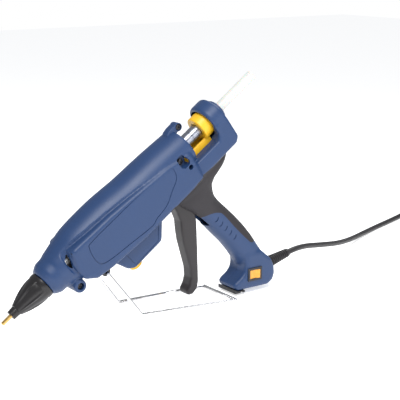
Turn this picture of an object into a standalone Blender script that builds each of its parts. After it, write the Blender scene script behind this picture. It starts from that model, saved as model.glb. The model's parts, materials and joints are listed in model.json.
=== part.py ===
"""A hand-held 12 mm hot-melt glue gun, standing on its folding wire stand with its lead laid out behind it.

Every size is in millimetres; metres() turns them into Blender's metres. Most pieces are drawn in the
gun's own frame: X runs back along the barrel from the tip of the nozzle, Z is up from the barrel and Y is
across it. One empty, gun_frame, leans that frame back to the angle at which the gun stands. The stand,
the foot, the switch and the lead are drawn in the room's frame, with the floor at Z = 0.
"""

import math

import bmesh
import bpy
from mathutils import Matrix, Vector

for old in list(bpy.data.objects):
    bpy.data.objects.remove(old)

# ---- driving sizes, mm ----
GAP = 0.3  # between pieces that touch
WALL = 2.5  # of the housing
TILT = math.radians(36.1)  # how far the barrel leans back on the stand
STICK_DIAMETER = 12.0
STICK_LENGTH = 200.0
STICK_SHOWING = 61.0  # how far it stands out of the inlet collar
NOZZLE_LENGTH = 60.0  # from the tip to the housing
BODY_LENGTH = 220.0
WINDOW_LENGTH = 36.0  # of the opening that shows the feed
REAR_LENGTH = 20.0  # of the hoop behind the window
BODY_WIDTH = 56.0
REAR_WIDTH = 48.0
BODY_DEPTH = 37.0  # from the barrel's axis to the body's underside
BELLY_DEPTH = 61.5
BELLY_WIDTH = 31.0
HANDLE_REACH = 204.0  # from the barrel's axis down to the sole
HANDLE_WIDTH = 34.0
FOOT_WIDTH = 36.0
GRIP_THICKNESS = 1.2
CHAMBER_LENGTH = 140.0
CHAMBER_RADIUS = 11.5
HEATER_RADIUS = 3.5
TUBE_WALL = 1.1
TRIGGER_WIDTH = 18.0
TRIGGER_ARM = 31.0  # from its pivot up to the drive pin
TRIGGER_SWING = 18.0  # degrees
PIN_RADIUS = 2.0
WIRE_RADIUS = 2.0  # of the stand
STAND_TRACK = 48.0  # across the stand's front corners
STAND_SPREAD = 116.0  # across its rear corners
DIAL_RADIUS = 7.8
CORD_RADIUS = 3.5
COIL_TURNS_ACROSS = 3
COIL_TURNS_HIGH = 3
COIL_MIDDLE_RADIUS = 38.0

# ---- places along the barrel, worked out from the sizes above ----
FRONT = NOZZLE_LENGTH
BODY_END = FRONT + BODY_LENGTH
HOOP_FRONT = BODY_END + WINDOW_LENGTH
HOOP_END = HOOP_FRONT + REAR_LENGTH
STICK_RADIUS = STICK_DIAMETER / 2
TUBE_BORE = STICK_RADIUS + 0.5
TUBE_RADIUS = TUBE_BORE + TUBE_WALL
CHAMBER_FRONT = FRONT + 2.0
CHAMBER_END = CHAMBER_FRONT + CHAMBER_LENGTH
TRIGGER_ROOT = (BODY_END - 39.0, -57.0)  # the lever's outline is drawn from here
TRIGGER_PIVOT = (BODY_END - 35.5, -46.0)
HALF_SWING = math.radians(TRIGGER_SWING / 2)
DRIVE_PIN = (
    TRIGGER_PIVOT[0] + TRIGGER_ARM * math.sin(HALF_SWING),
    TRIGGER_PIVOT[1] + TRIGGER_ARM * math.cos(HALF_SWING),
)
FEED_STROKE = 2 * TRIGGER_ARM * math.sin(HALF_SWING)
DRUM_LENGTH = 14.0
DRUM_FRONT = HOOP_FRONT - 10.0
DRUM_RADIUS = TUBE_RADIUS + 7.4
DRUM_BORE = TUBE_RADIUS + 0.4
BRACKET = (FRONT + 57.0, -33.5)
BRACKET_RADIUS = 5.5
BRACKET_HALF = STAND_TRACK / 2 - 4.8
BELLY_FRONT = BRACKET[0] + 13.0
BELLY_END = TRIGGER_ROOT[0] - 32.0
SOLE_HEIGHT = 5.5  # of the foot above the floor
SOLE_MIDDLE = (BODY_END - 28.3, -HANDLE_REACH)  # a point of the sole, in the gun's frame
SOLE_X = 130.8  # where that point stands in the room
COLOURS = {
    "housing": ((0.020, 0.050, 0.140), 0.45, 0.0),
    "rubber": ((0.022, 0.019, 0.022), 0.75, 0.0),
    "plastic": ((0.020, 0.020, 0.022), 0.50, 0.0),
    "sleeve": ((0.012, 0.012, 0.012), 0.35, 0.0),
    "steel": ((0.62, 0.62, 0.63), 0.25, 1.0),
    "brass": ((0.70, 0.50, 0.22), 0.30, 1.0),
    "aluminium": ((0.70, 0.71, 0.72), 0.40, 1.0),
    "yellow": ((0.90, 0.58, 0.04), 0.45, 0.0),
    "amber": ((0.95, 0.45, 0.05), 0.25, 0.0),
    "silicone": ((0.45, 0.12, 0.08), 0.60, 0.0),
    "board": ((0.02, 0.16, 0.07), 0.50, 0.0),
    "ceramic": ((0.80, 0.78, 0.72), 0.70, 0.0),
    "glue": ((0.86, 0.87, 0.82), 0.35, 0.0),
    "lead": ((0.30, 0.05, 0.04), 0.55, 0.0),
}


def metres(point):
    return Vector(point) * 0.001


def make_collection(name):
    collection = bpy.data.collections.new(name)
    bpy.context.scene.collection.children.link(collection)
    return collection


PARTS = make_collection("glue_gun")
CUTTERS = make_collection("cutters")


def make_material(finish):
    colour, roughness, metallic = COLOURS[finish]
    material = bpy.data.materials.new(finish)
    material.use_nodes = True
    shader = material.node_tree.nodes["Principled BSDF"]
    shader.inputs["Base Color"].default_value = (*colour, 1.0)
    shader.inputs["Roughness"].default_value = roughness
    shader.inputs["Metallic"].default_value = metallic
    return material


MATERIALS = {finish: make_material(finish) for finish in COLOURS}


def place_gun_frame():
    """Leans the gun back and stands its sole above the floor, at SOLE_X along the room."""
    frame = bpy.data.objects.new("gun_frame", None)
    frame.rotation_euler = (0.0, -TILT, 0.0)
    along, up = SOLE_MIDDLE
    x = SOLE_X - (along * math.cos(TILT) - up * math.sin(TILT))
    z = SOLE_HEIGHT - (along * math.sin(TILT) + up * math.cos(TILT))
    frame.location = metres((x, 0.0, z))
    PARTS.objects.link(frame)
    bpy.context.view_layer.update()
    return frame


GUN = place_gun_frame()
ROOM = None


def to_gun(x, z):
    """A point of the room's X-Z plane, in the gun's frame."""
    local = GUN.matrix_world.inverted() @ metres((x, 0.0, z))
    return local.x * 1000, local.z * 1000


def to_room(along, up):
    """A point of the gun's X-Z plane, in the room's frame."""
    world = GUN.matrix_world @ metres((along, 0.0, up))
    return world.x * 1000, world.z * 1000


# ---- modelling helpers ----
def add_object(name, mesh, frame, origin=(0.0, 0.0, 0.0), finish=None):
    """Links a mesh drawn in its frame as an object whose origin is at the given point of that frame."""
    mesh.transform(Matrix.Translation(-metres(origin)))
    obj = bpy.data.objects.new(name, mesh)
    obj.location = metres(origin)
    if frame:
        obj.parent = frame
    if finish:
        mesh.materials.append(MATERIALS[finish])
        PARTS.objects.link(obj)
    else:
        CUTTERS.objects.link(obj)
        obj.hide_render = True
        obj.display_type = "WIRE"
    return obj


def finish_bmesh(name, bm, frame, origin, finish):
    bmesh.ops.scale(bm, vec=(0.001, 0.001, 0.001), verts=bm.verts)
    mesh = bpy.data.meshes.new(name)
    bm.to_mesh(mesh)
    bm.free()
    obj = add_object(name, mesh, frame, origin, finish)
    mesh.shade_smooth()
    mesh.set_sharp_from_angle(angle=math.radians(35))
    return obj


def block(name, low, high, frame=GUN, finish=None, origin=(0, 0, 0), turn=None):
    """A box between two corners, turned about its own middle by the matrix turn."""
    size = Vector(high) - Vector(low)
    middle = (Vector(high) + Vector(low)) / 2
    bm = bmesh.new()
    bmesh.ops.create_cube(bm, size=1.0)
    bmesh.ops.scale(bm, vec=size, verts=bm.verts)
    if turn:
        bmesh.ops.transform(bm, matrix=turn, verts=bm.verts)
    bmesh.ops.translate(bm, vec=middle, verts=bm.verts)
    return finish_bmesh(name, bm, frame, origin, finish)


def rod(name, start, end, radius, frame=GUN, finish=None, origin=(0, 0, 0), end_radius=None, sides=16):
    """A cylinder or cone from one point to another."""
    start, end = Vector(start), Vector(end)
    bm = bmesh.new()
    top = radius if end_radius is None else end_radius
    turn = (end - start).to_track_quat("Z", "Y").to_matrix().to_4x4()
    place = Matrix.Translation((start + end) / 2) @ turn @ Matrix.Rotation(math.pi / sides, 4, "Z")
    bmesh.ops.create_cone(
        bm, cap_ends=True, segments=sides, radius1=radius, radius2=top,
        depth=(end - start).length, matrix=place,
    )
    return finish_bmesh(name, bm, frame, origin, finish)


def ball(name, centre, radius, finish=None):
    bm = bmesh.new()
    place = Matrix.Translation(Vector(centre))
    bmesh.ops.create_uvsphere(bm, u_segments=20, v_segments=12, radius=radius, matrix=place)
    return finish_bmesh(name, bm, GUN, centre, finish)


def turned(name, outside, inside, finish=None, frame=GUN, at=(0, 0, 0), axis=(1, 0, 0), sides=24):
    """A turned piece. Its two profiles are (along, radius) points from the low end to the high end.

    With no inside profile it is solid, and the outside profile starts and ends on the axis.
    """
    profile = list(outside) + list(reversed(inside))
    profile.reverse()
    mesh = bpy.data.meshes.new(name)
    points = [metres((radius, 0.0, along)) for along, radius in profile]
    edges = [(i, i + 1) for i in range(len(points) - 1)]
    if inside:
        edges.append((len(points) - 1, 0))
    mesh.from_pydata(points, edges, [])
    obj = add_object(name, mesh, frame, finish=finish)
    obj.location = metres(at)
    obj.rotation_euler = Vector(axis).to_track_quat("Z", "Y").to_euler()
    screw = obj.modifiers.new("turn", "SCREW")
    screw.steps = screw.render_steps = sides
    screw.use_merge_vertices = True
    screw.merge_threshold = 0.00001
    screw.use_smooth_shade = True
    return obj


def to_mesh_object(curve_object, finish=None):
    """Replaces a curve object by its welded mesh, so that Boolean and Bevel work on it."""
    bpy.context.view_layer.update()
    graph = bpy.context.evaluated_depsgraph_get()
    mesh = bpy.data.meshes.new_from_object(curve_object.evaluated_get(graph))
    bm = bmesh.new()
    bm.from_mesh(mesh)
    bmesh.ops.remove_doubles(bm, verts=bm.verts, dist=0.000001)
    bmesh.ops.recalc_face_normals(bm, faces=bm.faces)
    bm.to_mesh(mesh)
    bm.free()
    name = curve_object.name
    frame = curve_object.parent
    place = curve_object.matrix_basis.copy()
    bpy.data.objects.remove(curve_object)
    mesh.materials.clear()
    mesh.transform(place)
    return add_object(name, mesh, frame, finish=finish)


def plate(name, outline, low_y, high_y, finish=None, frame=GUN, rounding=0.0, steps=2):
    """A flat outline of (along, up) points between two places across the gun, with rounded edges."""
    curve = bpy.data.curves.new(name, "CURVE")
    curve.dimensions = "2D"
    curve.fill_mode = "BOTH"
    curve.extrude = (high_y - low_y) / 2 * 0.001
    spline = curve.splines.new("POLY")
    spline.points.add(len(outline) - 1)
    spline.use_cyclic_u = True
    for point, (along, up) in zip(spline.points, outline):
        point.co = (along * 0.001, up * 0.001, 0.0, 1.0)
    obj = bpy.data.objects.new(name, curve)
    obj.location = metres((0.0, (low_y + high_y) / 2, 0.0))
    obj.rotation_euler = (math.pi / 2, 0.0, 0.0)
    obj.parent = frame
    CUTTERS.objects.link(obj)
    result = to_mesh_object(obj, finish)
    if rounding:
        bevel = result.modifiers.new("rounding", "BEVEL")
        bevel.width = rounding * 0.001
        bevel.segments = steps
        bevel.limit_method = "ANGLE"
        bevel.angle_limit = math.radians(50)
    return result


def arcs(corners, steps=4):
    """Rounds the corners of a path or outline: each corner is (along, up, radius)."""
    rounded = []
    count = len(corners)
    for i, (*spot, radius) in enumerate(corners):
        here = Vector(spot)
        if radius == 0:
            rounded.append(tuple(here))
            continue
        before = Vector(corners[i - 1][:-1]) - here
        after = Vector(corners[(i + 1) % count][:-1]) - here
        half = before.angle(after) / 2
        reach = radius / math.tan(half)
        first = here + before.normalized() * reach
        last = here + after.normalized() * reach
        centre = here + (before.normalized() + after.normalized()).normalized() * radius / math.sin(half)
        for step in range(steps + 1):
            share = step / steps
            chord = first.lerp(last, share)
            rounded.append(tuple(centre + (chord - centre).normalized() * radius))
    return rounded


def loft(name, rings, finish=None, frame=GUN):
    """A closed skin through rings of equal point counts, with flat ends."""
    bm = bmesh.new()
    loops = [[bm.verts.new(point) for point in ring] for ring in rings]
    for lower, upper in zip(loops, loops[1:]):
        for i in range(len(lower)):
            j = (i + 1) % len(lower)
            bm.faces.new((lower[i], lower[j], upper[j], upper[i]))
    bm.faces.new(list(reversed(loops[0])))
    bm.faces.new(loops[-1])
    bmesh.ops.recalc_face_normals(bm, faces=bm.faces)
    return finish_bmesh(name, bm, frame, (0, 0, 0), finish)


def wire(name, points, radius, finish=None, frame=None, closed=False, sides=2):
    """A round wire through a list of points."""
    curve = bpy.data.curves.new(name, "CURVE")
    curve.dimensions = "3D"
    curve.bevel_depth = radius * 0.001
    curve.bevel_resolution = sides
    curve.use_fill_caps = True
    spline = curve.splines.new("POLY")
    spline.points.add(len(points) - 1)
    spline.use_cyclic_u = closed
    for point, spot in zip(spline.points, points):
        point.co = (*metres(spot), 1.0)
    obj = bpy.data.objects.new(name, curve)
    obj.parent = frame
    curve.materials.append(MATERIALS[finish])
    PARTS.objects.link(obj)
    return obj


def coil_spring(name, start, end, radius, wire_radius, turns, finish="steel", per_turn=8):
    """A helical spring between two points of the gun's frame."""
    start, end = Vector(start), Vector(end)
    along = (end - start).normalized()
    side = along.cross(Vector((0, 1, 0))).normalized()
    other = along.cross(side)
    count = int(turns * per_turn)
    points = []
    for i in range(count + 1):
        angle = 2 * math.pi * turns * i / count
        ring = side * math.cos(angle) * radius + other * math.sin(angle) * radius
        points.append(start.lerp(end, i / count) + ring)
    return wire(name, points, wire_radius, finish, GUN, sides=0)


def boolean(obj, tool, operation):
    modifier = obj.modifiers.new(tool.name, "BOOLEAN")
    modifier.operation = operation
    modifier.object = tool
    return obj


def cut(obj, *tools):
    for tool in tools:
        boolean(obj, tool, "DIFFERENCE")
    return obj


def join(obj, *tools):
    for tool in tools:
        boolean(obj, tool, "UNION")
    return obj


def keep(obj, *tools):
    for tool in tools:
        boolean(obj, tool, "INTERSECT")
    return obj


def copy_node(obj, name, finish):
    """A second object with the same mesh data and modifiers, as a part."""
    twin = obj.copy()
    twin.data = obj.data.copy()
    twin.name = name
    twin.data.materials.clear()
    twin.data.materials.append(MATERIALS[finish])
    for collection in list(twin.users_collection):
        collection.objects.unlink(twin)
    PARTS.objects.link(twin)
    twin.hide_render = False
    twin.display_type = "TEXTURED"
    return twin


def oval(along, half_width, half_height, count=24):
    """A ring across the barrel at one place along it."""
    ring = []
    for i in range(count):
        angle = 2 * math.pi * i / count
        ring.append((along, half_width * math.sin(angle), half_height * math.cos(angle)))
    return ring


def soft_oval(up, front, back, half_width, count=18, power=2.3):
    """A level ring round the handle at one height, squarer than an ellipse."""
    ring = []
    middle, half_depth = (front + back) / 2, (back - front) / 2
    for i in range(count):
        angle = 2 * math.pi * i / count
        c, s = math.cos(angle), math.sin(angle)
        x = math.copysign(abs(c) ** (2 / power), c) * half_depth
        y = math.copysign(abs(s) ** (2 / power), s) * half_width
        ring.append((middle + x, y, up))
    return ring


# ---- the housing's outer forms; inset is how far inside the surface a form runs ----
def barrel_form(name, inset):
    front, end, half = FRONT, BODY_END, BODY_WIDTH / 2
    stations = [
        (front, 15.3, 15.3), (front + 2, 17.0, 17.0), (front + 8, 20.2, 20.4), (front + 18, 20.6, 21.0),
        (front + 20, 21.6, 22.2), (front + 37, half - 3.5, 26.0), (front + 56, half - 1.5, 30.0),
        ((front + end) / 2 - 14, half - 1, 30.6), (end - 76, half - 2, 25.8),
        (end - 61, half - 2, 27.0), (end - 38, half - 2.5, 25.6), (end - 7, half - 3.5, 23.4),
        (end, half - 4, 22.6),
    ]
    rings = [oval(along, w - inset, h - inset) for along, w, h in stations]
    if inset:
        rings[0] = oval(front - 1, stations[0][1] - inset, stations[0][2] - inset)
        rings[-1] = oval(end + 1, stations[-1][1] - inset, stations[-1][2] - inset)
    return loft(name, rings)


def side_form(name, inset):
    depth = BODY_DEPTH
    outline = [
        (FRONT + 31.5 + inset, -5), (FRONT + 33 + inset, -19 + inset), (FRONT + 44, -depth + 8 + inset),
        (FRONT + 66, -depth + 4 + inset), (BODY_END - 105, -depth + inset), (BODY_END - 9, -depth + inset),
        (BODY_END - 6 - inset, 1), (BODY_END - 43, 8 - inset), (BODY_END - 95, 13.4 - inset),
        (BODY_END - 124, 16 - inset), (FRONT + 66, 17 - inset), (FRONT + 38, 18.2 - inset),
    ]
    half = BODY_WIDTH / 2 - inset
    return plate(name, outline, -half, half, rounding=0.0 if inset else 5.0)


def belly_form(name, inset):
    depth = BELLY_DEPTH
    top = -BODY_DEPTH + 6
    outline = [
        (BELLY_FRONT - 1 + inset, top), (BELLY_FRONT + 10 + inset, -depth + 5.5 + inset / 2),
        (BELLY_FRONT + 17 + inset / 2, -depth + inset), (BELLY_END - 19 - inset / 2, -depth + inset),
        (BELLY_END - 16 - inset, -depth + 3 + inset), (BELLY_END - inset, top + 6 - 13),
        (BELLY_END - inset, top),
    ]
    half = BELLY_WIDTH / 2 - inset
    return plate(name, outline, -half, half, rounding=0.0 if inset else 3.0)


def rear_form():
    depth = BODY_DEPTH - 0.5
    outline = [
        (BODY_END - 30, -depth), (HOOP_END - 6, -depth), (HOOP_END, -depth + 5.5), (HOOP_END, 0),
        (HOOP_FRONT, 0), (HOOP_FRONT, -12), (HOOP_FRONT - 5, -17.5), (BODY_END - 30, -17.5),
    ]
    half = REAR_WIDTH / 2
    return plate("rear_form", outline, -half, half, rounding=3.0)


def hoop_form(name, first, last, inset):
    half = REAR_WIDTH / 2 - inset
    return loft(name, [oval(first, half, half - 2.0, 28), oval(last, half, half - 2.0, 28)])


def handle_stations():
    """(height, front, back, half width) down the handle. Below the web it is set by the named sizes."""
    end, half, drop = BODY_END, HANDLE_WIDTH / 2, HANDLE_REACH - 204.0
    return [
        (-33, end - 56, end + 42.5, half + 5.2), (-42, end - 56, end + 42.5, half + 5.2),
        (-47, end - 50.5, end + 36, half + 4.5), (-50, end - 49, end + 17, half + 4),
        (-56, end - 46.5, end + 4.5, half + 3.5), (-64, end - 42.5, end - 0.5, half + 2.5),
        (-72, end - 39.5, end - 3.2, half + 1.5), (-82, end - 36, end - 2.5, half + 0.5), (-98, end - 32.5, end + 1.0, half),
        (-115 - drop / 2, end - 30, end + 4.5, half - 0.5), (-132 - drop / 2, end - 27.5, end + 7, half - 0.5),
        (-150 - drop, end - 25.5, end + 8.3, half), (-164 - drop, end - 25.5, end + 8.0, half + 0.5),
        (-178 - drop, end - 26, end + 8.0, half + 0.5), (-190 - drop, end - 20, end + 7, half),
    ]


def handle_form(name, inset, top=None):
    rings = []
    for up, front, back, half in handle_stations():
        if -57 < up < -45:
            up += inset
        rings.append(soft_oval(up, front + inset, back - inset, half - inset))
    if top is not None:
        first = rings[0]
        rings.insert(0, [(x, y, top) for x, y, _ in first])
    return loft(name, rings)


def foot_outline(inset):
    """The foot in the room's frame: a nose in front, a flat sole and a round heel."""
    x, z = SOLE_X - 33.5, SOLE_HEIGHT
    corners = [
        (x, z + 3), (x + 5, z), (x + 51, z), (x + 58.5, z + 4.5), (x + 61.8, z + 13), (x + 61, z + 23),
        (x + 55.5, z + 33), (x + 40, z + 46), (x + 15, z + 46), (x + 16.5, z + 34), (x + 17, z + 28), (x + 15.5, z + 21.5),
        (x + 11, z + 16), (x + 4, z + 11.5), (x, z + 8),
    ]
    middle = Vector((x + 32, z + 22))
    spots = []
    for corner in corners:
        spot = Vector(corner)
        pull = (middle - spot).normalized() * inset * 1.25
        spots.append(to_gun(*(spot + pull)))
    return spots


def foot_form(name, inset):
    half = FOOT_WIDTH / 2 - inset
    foot = plate(name, foot_outline(inset), -half, half, rounding=0.0 if inset else 4.0)
    heel_x, radius = SOLE_X + 11.4, FOOT_WIDTH / 2 + 0.05 - inset
    plan = rod(name + "_heel", (heel_x, 0, -9), (heel_x, 0, 90), radius, frame=ROOM, sides=32)
    join(plan, block(name + "_length", (heel_x - 80, -radius + 0.02, -7), (heel_x, radius - 0.02, 88), frame=ROOM))
    return keep(foot, plan)


# ---- fasteners ----
SCREW_HEAD_RADIUS = 3.6
SCREW_SHANK_RADIUS = 1.7
SCREWS = {
    "front_screw": {"at": (FRONT + 25.4, -24.3), "half": 20.0, "boss": 7.5, "recess": 5.5, "side": -1},
    "top_screw": {"at": (BODY_END + 6.8, 22.2), "half": 5.5, "boss": 4.8, "recess": 2.8, "side": -1},
    "rear_screw": {
        "at": (HOOP_FRONT + 7.5, -26.5), "half": REAR_WIDTH / 2 - 1.0, "boss": 4.4, "recess": 5.5, "side": 1,
    },
}
SIDE_SCREW = (BODY_END - 21.0, -2.0)
SMALL_SCREW = (BODY_END - 16.5, -12.5)


def screw_bosses():
    forms = []
    for name, data in SCREWS.items():
        along, up = data["at"]
        half = data["half"]
        forms.append(rod(name + "_boss", (along, -half, up), (along, half, up), data["boss"]))
    along, up = SCREWS["top_screw"]["at"]
    top = up + SCREWS["top_screw"]["boss"] - 0.3
    ridge = [(along - 21, up - 3), (along - 15, top - 1), (along, top), (along + 1, up - 3.5), (along - 9, up - 4)]
    forms.append(plate("top_ridge", ridge, -5.2, 5.2))
    return forms


def screw_holes():
    holes = []
    for name, data in SCREWS.items():
        along, up = data["at"]
        half, side, recess = data["half"], data["side"], data["recess"]
        head = rod(
            name + "_recess", (along, side * (half + 2), up), (along, side * (half - recess), up),
            SCREW_HEAD_RADIUS + 0.5,
        )
        shank = rod(
            name + "_hole", (along, side * (half - recess + 0.5), up), (along, -side * (half - 1.8), up),
            SCREW_SHANK_RADIUS + GAP,
        )
        holes += [head, shank]
    return holes


def screw(name, along, up, seat, length, side=-1):
    """A pan-head screw driven from one side: its head's underside is at seat."""
    profile = [
        (0.0, 0.0), (0.0, SCREW_HEAD_RADIUS - 0.6), (0.8, SCREW_HEAD_RADIUS), (2.4, SCREW_HEAD_RADIUS),
        (2.4, SCREW_SHANK_RADIUS), (2.4 + length, SCREW_SHANK_RADIUS), (3.4 + length, 0.0),
    ]
    place = (along, seat + side * 2.4, up)
    return turned(name, profile, [], "steel", at=place, axis=(0, -side, 0), sides=16)


def build_screws():
    for name, data in SCREWS.items():
        along, up = data["at"]
        half, side, recess = data["half"], data["side"], data["recess"]
        screw(name, along, up, side * (half - recess + GAP), 2 * half - recess - 3.5, side)
    screw("side_screw", *SIDE_SCREW, -BODY_WIDTH / 2 + 9.0, 4.5)
    screw("small_side_screw", *SMALL_SCREW, -BODY_WIDTH / 2 + 9.0, 5.0)


# ---- the two housing halves ----
SWITCH_SIZE = (18.5, 14.0)  # of the hole, along the room's X and Z
SWITCH_MIDDLE = (SOLE_X - 4.4, SOLE_HEIGHT + 18.0)
DIAL_ALONG = BELLY_FRONT + 23.5
RELIEF_TILT = math.radians(13.0)
RELIEF_BASE = (SOLE_X + 28.5, SOLE_HEIGHT + 21.7)
RELIEF_LENGTH = 34.0
RELIEF_RADIUS = 7.0


def relief_point(distance):
    """A point on the strain relief's axis, in the room's frame."""
    x = RELIEF_BASE[0] + distance * math.cos(RELIEF_TILT)
    z = RELIEF_BASE[1] + distance * math.sin(RELIEF_TILT)
    return (x, 0.0, z)


def cavity_forms():
    """What is hollow inside the housing."""
    depth = BODY_DEPTH - 0.5
    half = REAR_WIDTH / 2 - WALL
    spine = block("spine_cavity", (BODY_END - 27, -half, -depth + 4.3), (HOOP_END - 6, half, -20.5))
    hoop = hoop_form("hoop_cavity", HOOP_FRONT - 1, HOOP_END - 3, 4.0)
    well = block("hoop_well", (HOOP_FRONT + 3, -half + 1, -22), (HOOP_END - 3, half - 1, -2))
    return [
        barrel_form("barrel_cavity", WALL), side_form("side_cavity", WALL), belly_form("belly_cavity", WALL),
        spine, hoop, well, handle_form("handle_cavity", WALL, top=-22.0), foot_form("foot_cavity", WALL),
    ]


def opening_forms():
    """Holes through the housing's wall for what passes it."""
    bay_half = TRIGGER_WIDTH / 2 + 0.9
    px, pz = TRIGGER_ROOT
    bay = [
        (px - 22, pz + 34), (px + 15, pz + 34), (px + 21, pz + 5), (px + 15, pz - 40), (px - 22, pz - 40),
    ]
    slot_half = 9.6
    along, up = SWITCH_MIDDLE
    half_x, half_z = SWITCH_SIZE[0] / 2, SWITCH_SIZE[1] / 2
    return [
        plate("trigger_bay", bay, -bay_half, bay_half),
        block("feed_slot", (BODY_END - 20, -slot_half, -24), (HOOP_FRONT + 8, slot_half, -8)),
        rod("inlet_hole", (HOOP_END - 6, 0, 0), (HOOP_END + 2, 0, 0), 10.2, sides=24),
        rod("dial_hole", (DIAL_ALONG, 0, -BELLY_DEPTH - 3), (DIAL_ALONG, 0, -BELLY_DEPTH + 6), 3.6),
        rod("bracket_groove", (BRACKET[0], -BRACKET_HALF - GAP, BRACKET[1]),
            (BRACKET[0], BRACKET_HALF + GAP, BRACKET[1]), BRACKET_RADIUS + GAP),
        block("switch_hole", (along - half_x, -FOOT_WIDTH / 2 - 3, up - half_z),
              (along + half_x, -FOOT_WIDTH / 2 + 5, up + half_z), frame=ROOM),
        rod("relief_hole", relief_point(-9), relief_point(8), RELIEF_RADIUS, frame=ROOM, sides=24),
        block("front_mouth", (FRONT - 2, -30, -30), (FRONT, 30, 30)),
    ]


def pivot_bosses():
    """Sockets inside the walls for the trigger's pin, and the seats of the two short side screws."""
    px, pz = TRIGGER_PIVOT
    near = -BODY_WIDTH / 2 + 0.6
    inner, outer = TRIGGER_WIDTH / 2 + 1.2, HANDLE_WIDTH / 2 - 3.0
    sockets = [
        rod("pin_socket_left", (px, -outer, pz), (px, -inner, pz), 4.5),
        rod("pin_socket_right", (px, inner, pz), (px, outer, pz), 4.5),
    ]
    posts = [
        rod("side_screw_post", (SIDE_SCREW[0], near, SIDE_SCREW[1]), (SIDE_SCREW[0], -16.5, SIDE_SCREW[1]), 7.0),
        rod("small_screw_post", (SMALL_SCREW[0], near, SMALL_SCREW[1]), (SMALL_SCREW[0], -11.5, SMALL_SCREW[1]), 4.4),
    ]
    return sockets + posts


def late_holes():
    px, pz = TRIGGER_PIVOT
    near = -BODY_WIDTH / 2 - 1
    seat = -BODY_WIDTH / 2 + 9.0 + GAP
    shank = SCREW_SHANK_RADIUS + GAP
    reach = HANDLE_WIDTH / 2 - 3.2
    return [
        rod("pin_hole", (px, -reach, pz), (px, reach, pz), PIN_RADIUS + GAP, sides=16),
        rod("side_recess", (SIDE_SCREW[0], near, SIDE_SCREW[1]), (SIDE_SCREW[0], seat, SIDE_SCREW[1]), 5.4),
        rod("side_hole", (SIDE_SCREW[0], near, SIDE_SCREW[1]), (SIDE_SCREW[0], -12, SIDE_SCREW[1]), shank),
        rod("small_recess", (SMALL_SCREW[0], near, SMALL_SCREW[1]), (SMALL_SCREW[0], seat, SMALL_SCREW[1]), 4.0),
        rod("small_hole", (SMALL_SCREW[0], near, SMALL_SCREW[1]), (SMALL_SCREW[0], -12.7, SMALL_SCREW[1]), shank, sides=16),
    ]


def build_housing():
    whole = barrel_form("whole_housing", 0.0)
    join(
        whole, side_form("side_outer", 0.0), belly_form("belly_outer", 0.0), rear_form(),
        hoop_form("hoop_outer", HOOP_FRONT + 2.5, HOOP_END + 0.4, 1.0), handle_form("handle_outer", 0.0),
        foot_form("foot_outer", 0.0),
    )
    cut(whole, *cavity_forms())
    join(whole, *screw_bosses())
    cut(whole, *opening_forms())
    cut(whole, *screw_holes())
    join(whole, *pivot_bosses())
    cut(whole, *late_holes())
    far = 400.0
    near_side = block("near_side", (-50, -100, -far), (far * 1.3, -GAP / 2, far / 2))
    far_side = block("far_side", (-50, GAP / 2, -far), (far * 1.3, 100, far / 2))
    keep(copy_node(whole, "left_housing", "housing"), near_side)
    keep(copy_node(whole, "right_housing", "housing"), far_side)
    return near_side, far_side


def build_grips(near_side, far_side):
    """The soft grip is moulded on both halves, as a skin round the handle's back and web."""
    end = BODY_END
    skin = handle_form("grip_skin", -GAP - GRIP_THICKNESS)
    core = handle_form("grip_core", -GAP - 0.15, top=-20)
    bay_half = TRIGGER_WIDTH / 2 + 0.9
    px, pz = TRIGGER_ROOT
    mouth = block("grip_mouth", (px - 40, -bay_half, pz - 40), (px + 15, bay_half, pz + 34))
    outline = [
        (end + 60, -37.5), (end - 61, -37.5), (end - 38, -80), (end - 38, -84), (end - 33, -84), (end - 22, -84),
        (end - 13, -92), (end - 9.5, -104), (end - 5, -130), (end + 0, -150), (end + 4, -157),
        (end + 12, -160), (end + 60, -160),
    ]
    region = plate("grip_region", outline, -40, 40)
    keep(skin, region)
    cut(skin, core, mouth)
    keep(copy_node(skin, "left_grip", "rubber"), near_side)
    keep(copy_node(skin, "right_grip", "rubber"), far_side)


# ---- the hot end ----
def build_nozzle():
    step = NOZZLE_LENGTH - 60.0
    tip_bore, chamber_bore = 0.9, 3.6
    outside = [
        (0.0, 1.5), (1.0, 2.2), (13.0, 2.3), (17.0, 3.2), (30.0 + step, 6.0), (32.0 + step, 8.2),
        (46.0 + step, 8.2), (47.0 + step, 9.5), (61.7 + step, 9.5),
    ]
    inside = [
        (0.0, tip_bore), (30.0 + step, tip_bore), (37.0 + step, 1.6), (38.0 + step, chamber_bore),
        (57.0 + step, chamber_bore), (59.5 + step, 2.0), (61.7 + step, 2.0),
    ]
    turned("nozzle", outside, inside, "brass")
    sleeve_outside = [
        (12.5, 5.4), (20.5, 5.9), (21.0, 6.8), (34.0 + step, 10.2), (45.0 + step, 13.0), (52.0 + step, 14.4),
        (54.0 + step, 14.4), (55.0 + step, 15.1), (NOZZLE_LENGTH - GAP, 15.1),
    ]
    sleeve_inside = [
        (12.5, 2.8), (17.5, 3.8), (29.5 + step, 6.5), (31.5 + step, 8.6), (45.5 + step, 8.6), (46.5 + step, 9.9),
        (NOZZLE_LENGTH - GAP, 9.9),
    ]
    turned("nozzle_sleeve", sleeve_outside, sleeve_inside, "sleeve")
    ball_centre = 54.6 + step
    ball("valve_ball", (ball_centre, 0, 0), 3.0, "steel")
    coil_spring(
        "valve_spring", (38.9 + step, 0, 0), (ball_centre - 3.6, 0, 0), 2.7, 0.4, 4.5
    )


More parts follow.
